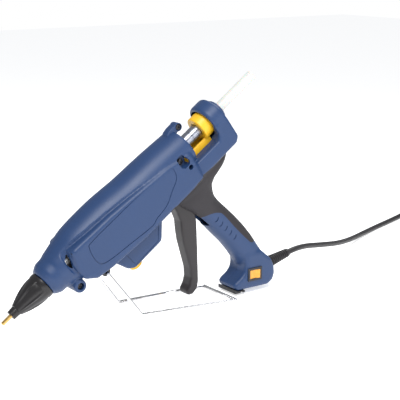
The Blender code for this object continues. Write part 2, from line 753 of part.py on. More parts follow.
def build_chamber():
    start, end, radius = CHAMBER_FRONT, CHAMBER_END, CHAMBER_RADIUS
    bore = STICK_RADIUS + 0.4
    nose = 8.0
    outside = [
        (start, 0), (start, nose), (start + 12, nose), (start + 12, radius), (end - 12, radius), (end - 12, 8.6),
        (end, 8.6), (end, 0),
    ]
    chamber = turned("melt_chamber", outside, [], "aluminium", sides=28)
    heater_up = -radius - HEATER_RADIUS
    heater_across = HEATER_RADIUS + 1.5
    floor = heater_up - HEATER_RADIUS - 1.5
    half = heater_across + HEATER_RADIUS + 1.5
    bottom = block("heater_block", (start + 38, -half, floor), (end - 26, half, -radius * 0.75))
    join(chamber, bottom)
    bore_profile = [
        (start - 2, 0), (start - 2, 2.2), (start + 14, 3.0), (start + 48, bore), (end + 2, bore), (end + 2, 0),
    ]
    cut(chamber, turned("chamber_bore", bore_profile, [], sides=20))
    for name, across in (("left_heater", -heater_across), ("right_heater", heater_across)):
        first, last = start + 42, end - 22
        well = rod(name + "_bore", (first, across, heater_up), (last, across, heater_up), HEATER_RADIUS + GAP)
        cut(chamber, well)
        rod(name, (first + GAP, across, heater_up), (last, across, heater_up), HEATER_RADIUS, finish="ceramic")
    top = radius + GAP
    turned(
        "thermal_cutout", [(0, 0), (0, 7.0), (4.0, 7.0), (5.5, 5.5), (5.5, 0)], [], "ceramic",
        at=(start + 70, 0, top), axis=(0, 0, 1), sides=24,
    )
    rod("temperature_sensor", (start + 30, radius + 2.2, 0), (start + 46, radius + 2.2, 0), 1.9, finish="ceramic", sides=12)


def build_supports():
    ring_front = FRONT + 7.0
    turned(
        "front_support", [(ring_front, 16.4), (ring_front + 6, 16.9)], [(ring_front, 8.45), (ring_front + 6, 8.45)],
        "ceramic",
    )
    along = SIDE_SCREW[0]
    support = block("rear_support", (along - 9, -14.5, -7.6), (along + 9, 14.5, 13), finish="plastic")
    cut(support, rod("support_bore", (along - 12, 0, 0), (along + 12, 0, 0), TUBE_RADIUS + 0.4, sides=24))
    cut(support, rod("support_pilot", (along, -16, SIDE_SCREW[1]), (along, -11.0, SIDE_SCREW[1]), SCREW_SHANK_RADIUS + GAP, sides=16))
    seal_end = CHAMBER_END + 19.0
    turned(
        "inlet_seal",
        [(CHAMBER_END - 10, 11.2), (CHAMBER_END + 4, 11.2), (seal_end, 9.0)],
        [(CHAMBER_END - 10, 8.9), (CHAMBER_END + GAP, 8.9), (CHAMBER_END + GAP, STICK_RADIUS + GAP),
         (seal_end, STICK_RADIUS + GAP)],
        "silicone",
    )
    turned(
        "guide_tube",
        [(seal_end + GAP, TUBE_RADIUS), (DRUM_FRONT + 1.5, TUBE_RADIUS)],
        [(seal_end + GAP, TUBE_BORE), (DRUM_FRONT + 1.5, TUBE_BORE)],
        "steel",
    )
    turned(
        "inlet_collar",
        [(HOOP_END - 5, 9.7), (HOOP_END + 0.7, 9.7), (HOOP_END + 0.7, 14.0), (HOOP_END + 3.8, 14.0),
         (HOOP_END + 5.0, 12.5)],
        [(HOOP_END - 5, 7.0), (HOOP_END + 3.0, 7.0), (HOOP_END + 5.0, 8.5)],
        "housing",
    )


def build_stick():
    end = HOOP_END + 5.0 + STICK_SHOWING
    rod("glue_stick", (end - STICK_LENGTH, 0, 0), (end, 0, 0), STICK_RADIUS, finish="glue", sides=24)


# ---- the feed and the trigger ----
def build_carriage():
    start, end = DRUM_FRONT, DRUM_FRONT + DRUM_LENGTH
    carriage = turned(
        "feed_carriage",
        [(start, 0), (start, DRUM_RADIUS - 1), (start + 1, DRUM_RADIUS), (end - 1, DRUM_RADIUS), (end, DRUM_RADIUS - 1),
         (end, 0)],
        [], "yellow", sides=28,
    )
    pin_x, pin_z = DRIVE_PIN
    slot_half = PIN_RADIUS + GAP
    for side, low, high in (("near", -8.0, -5.0), ("far", 5.0, 8.0)):
        rail = block(side + "_rail", (pin_x - 6.5, low, pin_z - 5.2), (start + 6, high, pin_z + 4.6))
        slot = block(
            side + "_slot", (pin_x - slot_half, low - 1, pin_z - 3.1), (pin_x + slot_half, high + 1, pin_z + 3.1)
        )
        cut(rail, slot)
        join(carriage, rail)
    cut(carriage, rod("drum_bore", (start - 2, 0, 0), (end + 2, 0, 0), DRUM_BORE, sides=28))
    plate_front = end + 0.4
    turned(
        "clamp_plate",
        [(0.0, DRUM_RADIUS - 2.6), (1.6, DRUM_RADIUS - 2.6)],
        [(0.0, STICK_RADIUS + 0.45), (1.6, STICK_RADIUS + 0.45)],
        "steel", at=(plate_front, 0, 0),
    )


def trigger_outline():
    px, pz = TRIGGER_ROOT
    return [
        (px - 9, pz + 18), (px - 13, pz + 12), (px - 14.5, pz + 2), (px - 17, pz - 9), (px - 23.5, pz - 20),
        (px - 29, pz - 31), (px - 33, pz - 42), (px - 37, pz - 53), (px - 41, pz - 64), (px - 46.5, pz - 73),
        (px - 54, pz - 79), (px - 61.5, pz - 82), (px - 62.5, pz - 87), (px - 57, pz - 90.5),
        (px - 47, pz - 89), (px - 41, pz - 83), (px - 37, pz - 77), (px - 28, pz - 64), (px - 19, pz - 51),
        (px - 9, pz - 36), (px - 1, pz - 24), (px + 6, pz - 10), (px + 9, pz + 2), (px + 9, pz + 12),
        (px + 5, pz + 18),
    ]


def build_trigger():
    px, pz = TRIGGER_PIVOT
    pin_x, pin_z = DRIVE_PIN
    lever = plate("trigger", trigger_outline(), -TRIGGER_WIDTH / 2, TRIGGER_WIDTH / 2, "plastic", rounding=2.5)
    arm = plate(
        "trigger_arm_form",
        [(px - 5.5, pz), (px + 5.5, pz), (pin_x + 4.5, pin_z - 2), (pin_x + 4, pin_z + 3.2), (pin_x - 4, pin_z + 3.2),
         (pin_x - 4.5, pin_z - 2)],
        -4.4, 4.4,
    )
    join(lever, arm)
    pivot_hole = rod("pivot_bore", (px, -20, pz), (px, 20, pz), PIN_RADIUS + GAP, sides=16)
    drive_hole = rod("drive_bore", (pin_x, -20, pin_z), (pin_x, 20, pin_z), PIN_RADIUS + GAP, sides=16)
    cut(lever, pivot_hole, drive_hole)
    reach = HANDLE_WIDTH / 2 - 3.6
    rod("trigger_pivot_pin", (px, -reach, pz), (px, reach, pz), PIN_RADIUS, finish="steel", sides=16)
    rod("drive_pin", (pin_x, -8.2, pin_z), (pin_x, 8.2, pin_z), PIN_RADIUS, finish="steel", sides=16)
    spring_up = -29.0
    share = (spring_up - pz) / (pin_z - pz)
    arm_back = px + (pin_x - px) * share + 5.4
    post = BODY_END + 10.0
    rod("spring_post", (post, -14, spring_up), (post, 14, spring_up), 1.5, finish="steel", sides=16)
    coil_spring("trigger_spring", (arm_back + 1.2, 0, spring_up), (post - 2.4, 0, spring_up), 3.0, 0.45, 9.5)


# ---- the stand ----
def build_stand():
    """The wire runs from one bracket socket down and round under the foot, and back to the other."""
    pivot_x, pivot_z = to_room(*BRACKET)
    track, spread = STAND_TRACK / 2, STAND_SPREAD / 2
    bar_x = SOLE_X - 22.8
    inner = BRACKET_HALF - 8.0
    corner_x = pivot_x + (pivot_z - WIRE_RADIUS) * 0.605
    half = [
        (pivot_x, -inner, pivot_z, 0), (pivot_x, -track, pivot_z, 4.5), (corner_x, -track, WIRE_RADIUS, 7.0),
        (bar_x, -spread, WIRE_RADIUS, 21.0),
    ]
    mirrored = [(x, -y, z, r) for x, y, z, r in reversed(half)]
    path = arcs(half + mirrored, steps=5)
    wire("stand_wire", path, WIRE_RADIUS, "steel", frame=ROOM)
    along, up = BRACKET
    bracket = rod("stand_bracket", (along, -BRACKET_HALF, up), (along, BRACKET_HALF, up), BRACKET_RADIUS, finish="plastic")
    for side in (-1, 1):
        socket = rod(
            f"bracket_socket_{side + 1}", (along, side * (inner - 0.5), up), (along, side * (BRACKET_HALF + 1), up),
            WIRE_RADIUS + GAP, sides=16,
        )
        cut(bracket, socket)
    x = SOLE_X - 33.5
    clip = block(
        "stand_clip", (x + 1.0, -17, WIRE_RADIUS + 0.8), (x + 15.5, 17, SOLE_HEIGHT + 4.0), frame=ROOM, finish="plastic"
    )
    bar = rod("clip_groove", (bar_x, -30, WIRE_RADIUS), (bar_x, 30, WIRE_RADIUS), WIRE_RADIUS + GAP, frame=ROOM)
    foot_room = foot_form("clip_seat", -GAP)
    cut(clip, bar, foot_room)


# ---- the switch, the board and the dial ----
def build_switch():
    along, up = SWITCH_MIDDLE
    half_x, half_z = SWITCH_SIZE[0] / 2, SWITCH_SIZE[1] / 2
    face = -FOOT_WIDTH / 2
    body = block(
        "switch_body", (along - half_x + GAP, face + 0.2, up - half_z + GAP),
        (along + half_x - GAP, face + 12.5, up + half_z - GAP), frame=ROOM, finish="plastic",
    )
    bezel = block("switch_bezel", (along - half_x - 1, face - 1.4, up - half_z - 0.9),
                  (along + half_x + 1, face - GAP, up + half_z + 0.9), frame=ROOM)
    throat = block("switch_throat", (along - half_x + 1, face - 1, up - half_z + 1),
                   (along + half_x - 1, face + 2, up + half_z - 1), frame=ROOM)
    pocket = block("switch_pocket", (along - half_x + 1.6, face - 4, up - half_z + 1.6),
                   (along + half_x - 1.6, face + 7.5, up + half_z - 1.6), frame=ROOM)
    join(body, throat, bezel)
    cut(body, pocket)
    lean = Matrix.Rotation(math.radians(-7.0), 4, "Z")
    rocker_x, rocker_z = half_x - 1.6 - 0.75, half_z - 1.6 - GAP
    pivot = (along, face + 1.5, up)
    bm = bmesh.new()
    profile = [(-rocker_x, -3.4), (0.0, -2.0), (rocker_x, -3.4), (rocker_x - 0.6, 1.6), (0.0, 3.4), (-rocker_x + 0.6, 1.6)]
    rings = [[bm.verts.new((x, y, z)) for x, y in profile] for z in (-rocker_z, rocker_z)]
    for i in range(len(profile)):
        j = (i + 1) % len(profile)
        bm.faces.new((rings[0][i], rings[0][j], rings[1][j], rings[1][i]))
    bm.faces.new(rings[0])
    bm.faces.new(rings[1])
    bmesh.ops.recalc_face_normals(bm, faces=bm.faces)
    bmesh.ops.transform(bm, matrix=Matrix.Translation(pivot) @ lean, verts=bm.verts)
    finish_bmesh("switch_rocker", bm, ROOM, pivot, "amber")


def build_board():
    board_up = -BELLY_DEPTH + 12.0
    half = BELLY_WIDTH / 2 - WALL - 2.0
    first, last = BELLY_FRONT + 14, BELLY_END - 24
    board = block("control_board", (first, -half, board_up), (last, half, board_up + 1.6), finish="board")
    turned(
        "potentiometer", [(0.0, 0.0), (0.0, 5.6), (6.0, 5.6), (6.0, 0.0)], [], "plastic",
        at=(DIAL_ALONG, 0, board_up - 6.0 - GAP), axis=(0, 0, 1), sides=20,
    )
    chip = block("triac", (last - 16, -6, board_up + 1.6 + GAP), (last - 6, 5, board_up + 6.0), finish="plastic")
    shaft_top = board_up - 6.0 - 2 * GAP
    underside = -BELLY_DEPTH
    turned(
        "temperature_dial",
        [(0.0, 0.0), (0.0, 6.6), (1.0, DIAL_RADIUS), (6.0, DIAL_RADIUS), (6.5, 7.2), (6.5, 3.2),
         (shaft_top - underside + 7.2, 3.2), (shaft_top - underside + 7.2, 0.0)],
        [], "yellow", at=(DIAL_ALONG, 0, underside - 7.2), axis=(0, 0, 1), sides=24,
    )
    return board, chip


def build_wiring():
    """A terminal block in the handle, and the leads from the cord to it and on to the switch, board and heaters."""
    end = BODY_END
    block("terminal_block", (end - 15, -7, -150), (end - 3, 7, -134), finish="plastic")
    tail_x, _, tail_z = relief_point(-14.0)
    sx, sz = SWITCH_MIDDLE
    tail = to_gun(tail_x, tail_z)
    switch = to_gun(sx, sz)
    wire("supply_lead", [(tail[0] - 2, 4, tail[1]), (end - 8, 5, -180), (end - 8, 4, -165), (end - 9, 3, -150.8)],
         1.4, "lead", GUN)
    wire("switch_lead", [(switch[0], -3.5, switch[1] + 1), (end - 14, -3, -176), (end - 12, -3, -165), (end - 11, -3, -150.8)],
         1.2, "lead", GUN)
    wire("riser_lead", [
        (end - 8, 5, -133.2), (end - 9, 8, -121), (end - 11, 10.5, -108), (end - 14, 12, -95), (end - 17, 13, -80),
        (end - 19, 13.3, -65), (end - 20, 13.5, -52), (end - 24, 13.5, -39), (end - 34, 13, -31), (end - 52, 12, -30.5),
        (end - 70, 11, -31), (BELLY_END - 16, 8.5, -36), (BELLY_END - 24, 8, -42), (BELLY_END - 28, 8, -BELLY_DEPTH + 15),
    ], 1.3, "lead", GUN)
    heater_up = -CHAMBER_RADIUS - HEATER_RADIUS
    across = HEATER_RADIUS + 1.5
    wire("heater_lead", [
        (CHAMBER_END - 20.6, across, heater_up), (CHAMBER_END - 17, across + 1.0, heater_up - 2),
        (CHAMBER_END - 14, across, heater_up - 8), (CHAMBER_END - 20, 3, heater_up - 13),
        (BELLY_END - 26, 1.0, -BELLY_DEPTH + 20), (BELLY_END - 27, 0, -BELLY_DEPTH + 15.0),
    ], 1.2, "lead", GUN)


# ---- the cord ----
CORD_ROUTE = [
    (192.6, 0.0, 35.1), (206.5, 1.0, 36.9), (220.0, 4.6, 36.2), (234.0, 9.6, 34.0), (250.0, 15.0, 30.8),
    (268.0, 21.0, 27.2), (290.0, 29.0, 22.7), (313.0, 39.0, 18.0), (338.0, 52.0, 13.4), (364.0, 66.0, 9.4),
    (392.0, 81.0, 6.3), (422.0, 95.0, 4.4), (454.0, 107.5, 3.7), (488.0, 119.0, 3.6), (520.0, 130.0, 3.6),
    (546.0, 139.5, 3.9), (572.0, 147.4, 4.5), (597.0, 149.9, 4.8),
]
COIL_MIDDLE = (604.0, 98.0)
COIL_LIFT = 1.3  # the tie passes under the coil
COIL_HALF = CORD_RADIUS * COIL_TURNS_ACROSS
COIL_HEIGHT = 2 * CORD_RADIUS * COIL_TURNS_HIGH
PLUG_FACE = (498.0, 44.0)
PLUG_UP = 17.5


def smooth_route(points, spacing):
    """Points a set distance apart on a smooth curve through the route's own points."""
    spots = [Vector(p) for p in points]
    fine = []
    for i in range(len(spots) - 1):
        before = spots[max(i - 1, 0)]
        after = spots[min(i + 2, len(spots) - 1)]
        leave = (spots[i + 1] - before) / 2
        arrive = (after - spots[i]) / 2
        for step in range(12):
            t = step / 12
            h1 = 2 * t**3 - 3 * t**2 + 1
            h2 = t**3 - 2 * t**2 + t
            h3 = -2 * t**3 + 3 * t**2
            h4 = t**3 - t**2
            fine.append(spots[i] * h1 + leave * h2 + spots[i + 1] * h3 + arrive * h4)
    fine.append(spots[-1])
    kept = [fine[0]]
    for spot in fine:
        if (spot - kept[-1]).length >= spacing:
            kept.append(spot)
    if (fine[-1] - kept[-1]).length < spacing / 2:
        kept.pop()
    kept.append(fine[-1])
    return kept


def build_relief():
    length, radius = RELIEF_LENGTH, RELIEF_RADIUS
    outside = [
        (-9.0, 8.6), (-7.0, 8.6), (-7.0, radius - 0.4), (2.2, radius - 0.4), (2.2, radius + 0.2),
        (length, 5.0),
    ]
    inside = [(-9.0, 1.8), (length - 14, 1.8), (length - 14, CORD_RADIUS + 0.4), (length, CORD_RADIUS + 0.4)]
    axis = (math.cos(RELIEF_TILT), 0, math.sin(RELIEF_TILT))
    turned("strain_relief", outside, inside, "rubber", ROOM, relief_point(0), axis, sides=24)


def build_cord():
    start = Vector(relief_point(RELIEF_LENGTH - 12))
    lead_out = [tuple(start)] + [tuple(Vector(relief_point(RELIEF_LENGTH + 2)))]
    route = lead_out + CORD_ROUTE[1:]
    wire("cord", smooth_route(route, 11.0), CORD_RADIUS, "rubber", ROOM)
    inner, outer = COIL_MIDDLE_RADIUS - COIL_HALF, COIL_MIDDLE_RADIUS + COIL_HALF
    turned(
        "cord_coil", [(0.0, outer), (COIL_HEIGHT, outer)], [(0.0, inner), (COIL_HEIGHT, inner)], "rubber",
        ROOM, (*COIL_MIDDLE, COIL_LIFT), (0, 0, 1), sides=36,
    )
    tie_low, tie_high = COIL_MIDDLE[0] + inner - GAP - 1.4, COIL_MIDDLE[0] + outer + GAP
    tie_out = plate(
        "coil_tie",
        [(tie_low - 0.8, 0.0), (tie_high + 0.8, 0.0), (tie_high + 0.8, COIL_LIFT + COIL_HEIGHT + GAP + 0.8),
         (tie_low - 0.8, COIL_LIFT + COIL_HEIGHT + GAP + 0.8)],
        COIL_MIDDLE[1] - 7, COIL_MIDDLE[1] + 7, "plastic", ROOM,
    )
    hollow = block(
        "tie_hollow", (tie_low, COIL_MIDDLE[1] - 9, COIL_LIFT - GAP),
        (tie_high, COIL_MIDDLE[1] + 9, COIL_LIFT + COIL_HEIGHT + GAP), frame=ROOM,
    )
    cut(tie_out, hollow)


def build_plug():
    """A moulded two-pin plug lying beside the coil, and the end of the cord that runs to it."""
    face_x, y = PLUG_FACE
    up = PLUG_UP
    outer = COIL_MIDDLE_RADIUS + COIL_HALF
    entry = face_x + 47.0
    profile = [
        (0.0, 0.0), (0.0, 16.0), (1.5, 17.5), (12.0, 17.5), (16.0, 15.0), (26.0, 9.5), (34.0, 7.0), (47.0, 5.2),
        (47.0, 0.0),
    ]
    body = turned("plug_body", profile, [], "rubber", ROOM, (face_x, y, up), (1, 0, 0), sides=28)
    hole = rod("plug_cord_hole", (entry - 6, y, up), (entry + 3, y, up), CORD_RADIUS + 0.4, frame=ROOM, sides=16)
    cut(body, hole)
    for name, side in (("plug_pin_left", -9.5), ("plug_pin_right", 9.5)):
        pin_hole = rod(name + "_hole", (face_x - 2, y + side, up), (face_x + 6, y + side, up), 2.4 + GAP, frame=ROOM, sides=16)
        cut(body, pin_hole)
        rod(name, (face_x - 19, y + side, up), (face_x + 5.5, y + side, up), 2.4, frame=ROOM, finish="brass", sides=16)
    last_turn = COIL_LIFT + COIL_HEIGHT - CORD_RADIUS
    tail = [
        (entry - 5.0, y, up), (entry + 8, y, up + 0.1), (entry + 24, y - 0.1, last_turn - 0.9),
        (COIL_MIDDLE[0] - 21, y + 0.2, last_turn - 0.2),
        (COIL_MIDDLE[0] - 7, COIL_MIDDLE[1] - outer - CORD_RADIUS - 0.8, last_turn),
    ]
    wire("cord_tail", smooth_route(tail, 8.0), CORD_RADIUS, "rubber", ROOM)


def build():
    near_side, far_side = build_housing()
    build_grips(near_side, far_side)
    build_screws()
    build_nozzle()
    build_chamber()
    build_supports()
    build_stick()
    build_carriage()
    build_trigger()
    build_stand()
    build_switch()
    build_board()
    build_wiring()
    build_relief()
    build_cord()
    build_plug()


build()
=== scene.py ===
import json
import math

import bmesh
import bpy
from mathutils import Matrix, Vector

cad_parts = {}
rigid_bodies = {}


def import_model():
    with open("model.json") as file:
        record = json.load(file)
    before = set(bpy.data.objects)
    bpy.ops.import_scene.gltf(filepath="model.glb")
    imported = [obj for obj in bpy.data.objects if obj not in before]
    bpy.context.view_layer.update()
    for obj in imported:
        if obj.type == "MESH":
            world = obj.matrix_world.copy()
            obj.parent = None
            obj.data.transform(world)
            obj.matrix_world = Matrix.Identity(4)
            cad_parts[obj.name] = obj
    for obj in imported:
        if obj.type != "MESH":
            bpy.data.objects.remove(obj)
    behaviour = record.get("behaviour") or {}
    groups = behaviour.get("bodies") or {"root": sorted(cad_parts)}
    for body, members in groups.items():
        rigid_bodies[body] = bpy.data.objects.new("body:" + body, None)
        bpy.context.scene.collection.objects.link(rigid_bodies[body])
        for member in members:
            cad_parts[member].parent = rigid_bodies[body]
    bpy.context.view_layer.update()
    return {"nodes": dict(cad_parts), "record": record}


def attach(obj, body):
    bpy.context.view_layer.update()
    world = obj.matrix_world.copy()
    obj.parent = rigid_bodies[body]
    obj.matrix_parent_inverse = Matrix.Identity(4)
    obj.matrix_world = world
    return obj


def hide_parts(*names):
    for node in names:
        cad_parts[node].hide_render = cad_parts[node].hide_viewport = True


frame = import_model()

# ---- the studio ----
# A pale floor in a white room, a large soft light high in front, a weaker one behind and a small fill.
# The camera stands a little in front of the gun's left side, slightly above it.
studio = bpy.context.scene
studio.view_settings.view_transform = "Standard"
room_light = bpy.data.worlds.new("white_room")
room_light.use_nodes = True
seen_white = room_light.node_tree.nodes["Background"]
seen_white.inputs["Color"].default_value = (1.0, 1.0, 1.0, 1.0)
seen_white.inputs["Strength"].default_value = 1.0
ambient = room_light.node_tree.nodes.new("ShaderNodeBackground")
ambient.inputs["Color"].default_value = (0.95, 0.97, 1.0, 1.0)
ambient.inputs["Strength"].default_value = 0.42
ray_kind = room_light.node_tree.nodes.new("ShaderNodeLightPath")
room_mix = room_light.node_tree.nodes.new("ShaderNodeMixShader")
room_links = room_light.node_tree.links
room_links.new(ray_kind.outputs["Is Camera Ray"], room_mix.inputs["Fac"])
room_links.new(ambient.outputs["Background"], room_mix.inputs[1])
room_links.new(seen_white.outputs["Background"], room_mix.inputs[2])
room_links.new(room_mix.outputs["Shader"], room_light.node_tree.nodes["World Output"].inputs["Surface"])
studio.world = room_light


def soft_light(name, place, aim, size, power):
    lamp = bpy.data.lights.new(name, "AREA")
    lamp.size = size
    lamp.energy = power
    fixture = bpy.data.objects.new(name, lamp)
    fixture.location = place
    fixture.rotation_euler = (Vector(aim) - Vector(place)).to_track_quat("-Z", "Y").to_euler()
    studio.collection.objects.link(fixture)


soft_light("overhead_softbox", (-0.35, -0.70, 1.15), (0.02, 0.0, 0.12), 0.7, 15.0)
soft_light("rear_strip", (0.65, 0.25, 0.95), (0.05, 0.0, 0.12), 0.5, 5.0)
soft_light("front_fill", (0.6, -1.3, 0.45), (0.08, 0.0, 0.12), 0.6, 3.0)

floor_bm = bmesh.new()
bmesh.ops.create_grid(floor_bm, x_segments=1, y_segments=1, size=4.0)
floor_mesh = bpy.data.meshes.new("studio_floor")
floor_bm.to_mesh(floor_mesh)
floor_bm.free()
floor = bpy.data.objects.new("studio_floor", floor_mesh)
studio.collection.objects.link(floor)
floor_paint = bpy.data.materials.new("pale_floor")
floor_paint.use_nodes = True
floor_shader = floor_paint.node_tree.nodes["Principled BSDF"]
floor_shader.inputs["Base Color"].default_value = (0.97, 0.97, 0.97, 1.0)
floor_shader.inputs["Roughness"].default_value = 0.9
floor_shader.inputs["Specular IOR Level"].default_value = 0.1
floor_shader.inputs["Emission Color"].default_value = (1.0, 1.0, 1.0, 1.0)
floor_shader.inputs["Emission Strength"].default_value = 0.55
floor.data.materials.append(floor_paint)

azimuth, height_angle, distance = math.radians(-35.28), math.radians(13.53), 1.2
away = Vector((
    math.sin(azimuth) * math.cos(height_angle),
    -math.cos(azimuth) * math.cos(height_angle),
    math.sin(height_angle),
))
camera_data = bpy.data.cameras.new("camera")
camera_data.lens = 93.7
camera_data.sensor_width = 36.0
camera_data.clip_end = 20.0
camera = bpy.data.objects.new("camera", camera_data)
camera.location = Vector((0.05903, 0.0, 0.12008)) + away * distance
camera.rotation_euler = away.to_track_quat("Z", "Y").to_euler()
studio.collection.objects.link(camera)
studio.camera = camera

# ---- the mains lead ----
# A 7 mm rubber-sheathed lead, 2.8 m long. It leaves the handle's heel, sinks to the floor and runs back
# to a wound coil held by a plastic tie, and its last stretch leads to the plug beside the coil.
LEAD_THICKNESS = 0.007


def finish(
    name, colour, roughness, metallic=0.0, grain=0.0, grain_size=900.0, mottle=0.12, patch_size=30.0, **sockets
):
    """A material with fine grain in its bump and soft patches in its colour and its gloss."""
    paint = bpy.data.materials.new(name)
    paint.use_nodes = True
    nodes, links = paint.node_tree.nodes, paint.node_tree.links
    shader = nodes["Principled BSDF"]
    shader.inputs["Metallic"].default_value = metallic
    for socket, value in sockets.items():
        shader.inputs[socket.replace("_", " ")].default_value = value
    where = nodes.new("ShaderNodeTexCoord")
    patches = nodes.new("ShaderNodeTexNoise")
    patches.inputs["Scale"].default_value = patch_size
    patches.inputs["Detail"].default_value = 4.0
    links.new(where.outputs["Object"], patches.inputs["Vector"])
    tint = nodes.new("ShaderNodeMix")
    tint.data_type = "RGBA"
    tint.inputs["A"].default_value = (*[c * (1.0 - mottle) for c in colour], 1.0)
    tint.inputs["B"].default_value = (*[min(c * (1.0 + mottle), 1.0) for c in colour], 1.0)
    links.new(patches.outputs["Fac"], tint.inputs["Factor"])
    links.new(tint.outputs["Result"], shader.inputs["Base Color"])
    gloss = nodes.new("ShaderNodeMapRange")
    gloss.inputs["To Min"].default_value = max(roughness - 0.06, 0.02)
    gloss.inputs["To Max"].default_value = min(roughness + 0.06, 1.0)
    links.new(patches.outputs["Fac"], gloss.inputs["Value"])
    links.new(gloss.outputs["Result"], shader.inputs["Roughness"])
    if grain:
        speckle = nodes.new("ShaderNodeTexNoise")
        speckle.inputs["Scale"].default_value = grain_size
        speckle.inputs["Detail"].default_value = 3.0
        links.new(where.outputs["Object"], speckle.inputs["Vector"])
        bump = nodes.new("ShaderNodeBump")
        bump.inputs["Strength"].default_value = grain
        bump.inputs["Distance"].default_value = 0.0004
        links.new(speckle.outputs["Fac"], bump.inputs["Height"])
        links.new(bump.outputs["Normal"], shader.inputs["Normal"])
    return paint


def mm(*spot):
    return Vector(spot) * 0.001


lead_rubber = finish("lead_rubber", (0.018, 0.017, 0.019), 0.5, grain=0.25, grain_size=1500.0)
relief_tip, relief_lean = mm(159.3, 0.0, 27.2), math.radians(13.0)
relief_axis = Vector((math.cos(relief_lean), 0.0, math.sin(relief_lean)))
floor_route = [
    (206.5, 1.0, 36.9), (220.0, 4.6, 36.2), (234.0, 9.6, 34.0), (250.0, 15.0, 30.8), (268.0, 21.0, 27.2),
    (290.0, 29.0, 22.7), (313.0, 39.0, 18.0), (338.0, 52.0, 13.4), (364.0, 66.0, 9.4), (392.0, 81.0, 6.3),
    (422.0, 95.0, 4.4), (454.0, 107.5, 3.7), (488.0, 119.0, 3.6), (520.0, 130.0, 3.6), (546.0, 139.5, 3.9),
    (572.0, 147.4, 4.5),
]
coil_middle = mm(604.0, 98.0, 0.0)
# Each shift is (turn, outwards, upwards, first degree, last degree) about the start of that turn.
turn_shifts = [
    (0, -7.2, 0, 0, 90), (1, -7, 0, 0, 90), (2, -7, 0, 0, 90), (3, 0, 7, -25, 65), (4, 7, 0, -50, 30),
    (5, 7, 0, -50, 30), (6, 0, 7, -72, 4), (7, -7, 0, -108, -24), (8, -7, 0, -108, -24), (9, 0, 7, -135, -52),
    (9, 21.3, 0, -30, 140), (9, 0, -7, 105, 185),
]


def eased(value, first, last):
    share = min(max((value - first) / (last - first), 0.0), 1.0)
    return share * share * (3.0 - 2.0 * share)


def coil_point(turned_by):
    reach, up = 52.2, 4.8
    for turn, outwards, upwards, first, last in turn_shifts:
        share = eased(turned_by - 360.0 * turn, first, last)
        reach += outwards * share
        up += upwards * share
    heading = math.radians(97.7 - turned_by)
    return coil_middle + mm(reach * math.cos(heading), reach * math.sin(heading), up)


lead_points = [relief_tip + relief_axis * 0.022, relief_tip + relief_axis * 0.036]
lead_points += [mm(*spot) for spot in floor_route]
lead_points += [coil_point(8.0 * i) for i in range(0, 430)]
plug_entry = mm(545.0, 44.0, 17.5)
lead_points += [mm(586.0, 45.0, 18.7), mm(569.0, 44.2, 18.2), mm(556.0, 44.0, 17.6)]
lead_points.append(plug_entry - mm(5.0, 0.0, 0.0))
lead_curve = bpy.data.curves.new("mains_lead", "CURVE")
lead_curve.dimensions = "3D"
lead_curve.bevel_depth = LEAD_THICKNESS / 2
lead_curve.bevel_resolution = 4
lead_curve.use_fill_caps = True
lead_curve.resolution_u = 3
spline = lead_curve.splines.new("BEZIER")
spline.bezier_points.add(len(lead_points) - 1)
for knot, spot in zip(spline.bezier_points, lead_points):
    knot.co = spot
    knot.handle_left_type = knot.handle_right_type = "AUTO"
mains_lead = bpy.data.objects.new("mains_lead", lead_curve)
studio.collection.objects.link(mains_lead)
mains_lead.data.materials.append(lead_rubber)
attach(mains_lead, "housing")
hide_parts("cord", "cord_coil", "cord_tail")

# ---- the plug and the coil's tie ----
# A moulded rubber plug with a ribbed grip and a tapered neck, and two round brass pins, each a little narrower
# at its root.
# The tie is a flat band of black plastic bent round the coil.


def piece(name, bm, paint, body, replaced=(), smooth_angle=35.0):
    """Closes a mesh into an object that rides on its body and stands for the CAD solids it replaces."""
    mesh = bpy.data.meshes.new(name)
    bm.to_mesh(mesh)
    bm.free()
    made = bpy.data.objects.new(name, mesh)
    studio.collection.objects.link(made)
    made.data.materials.append(paint)
    made.data.shade_smooth()
    if smooth_angle:
        made.data.set_sharp_from_angle(angle=math.radians(smooth_angle))
    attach(made, body)
    if replaced:
        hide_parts(*replaced)
    return made


def spun(profile, segments=64):
    """A closed or open profile of (along, radius) in millimetres, spun round the X axis."""
    bm = bmesh.new()
    ring = [bm.verts.new(mm(along, 0.0, radius)) for along, radius in profile]
    edges = [bm.edges.new(pair) for pair in zip(ring, ring[1:])]
    bmesh.ops.spin(
        bm, geom=ring + edges, cent=(0, 0, 0), axis=(1, 0, 0), angle=math.tau, steps=segments, use_merge=True
    )
    bmesh.ops.remove_doubles(bm, verts=bm.verts, dist=0.000002)
    bmesh.ops.recalc_face_normals(bm, faces=bm.faces)
    return bm


def softened(bm, width, segments=2, angle=30.0):
    """Rounds every edge sharper than the angle."""
    edges = [e for e in bm.edges if len(e.link_faces) == 2 and e.calc_face_angle(0.0) > math.radians(angle)]
    bmesh.ops.bevel(
        bm, geom=edges, offset=width * 0.001, segments=segments, profile=0.5, affect="EDGES", material=-1,
        clamp_overlap=True,
    )
    return bm


def moved(bm, matrix):
    bmesh.ops.transform(bm, matrix=matrix, verts=bm.verts)
    return bm


def boxed(low, high):
    """A box between two corners in millimetres."""
    bm = bmesh.new()
    low, high = mm(*low), mm(*high)
    made = bmesh.ops.create_cube(bm, size=1.0)
    size = high - low
    bmesh.ops.scale(bm, vec=size, verts=made["verts"])
    bmesh.ops.translate(bm, vec=(low + high) / 2, verts=made["verts"])
    return bm


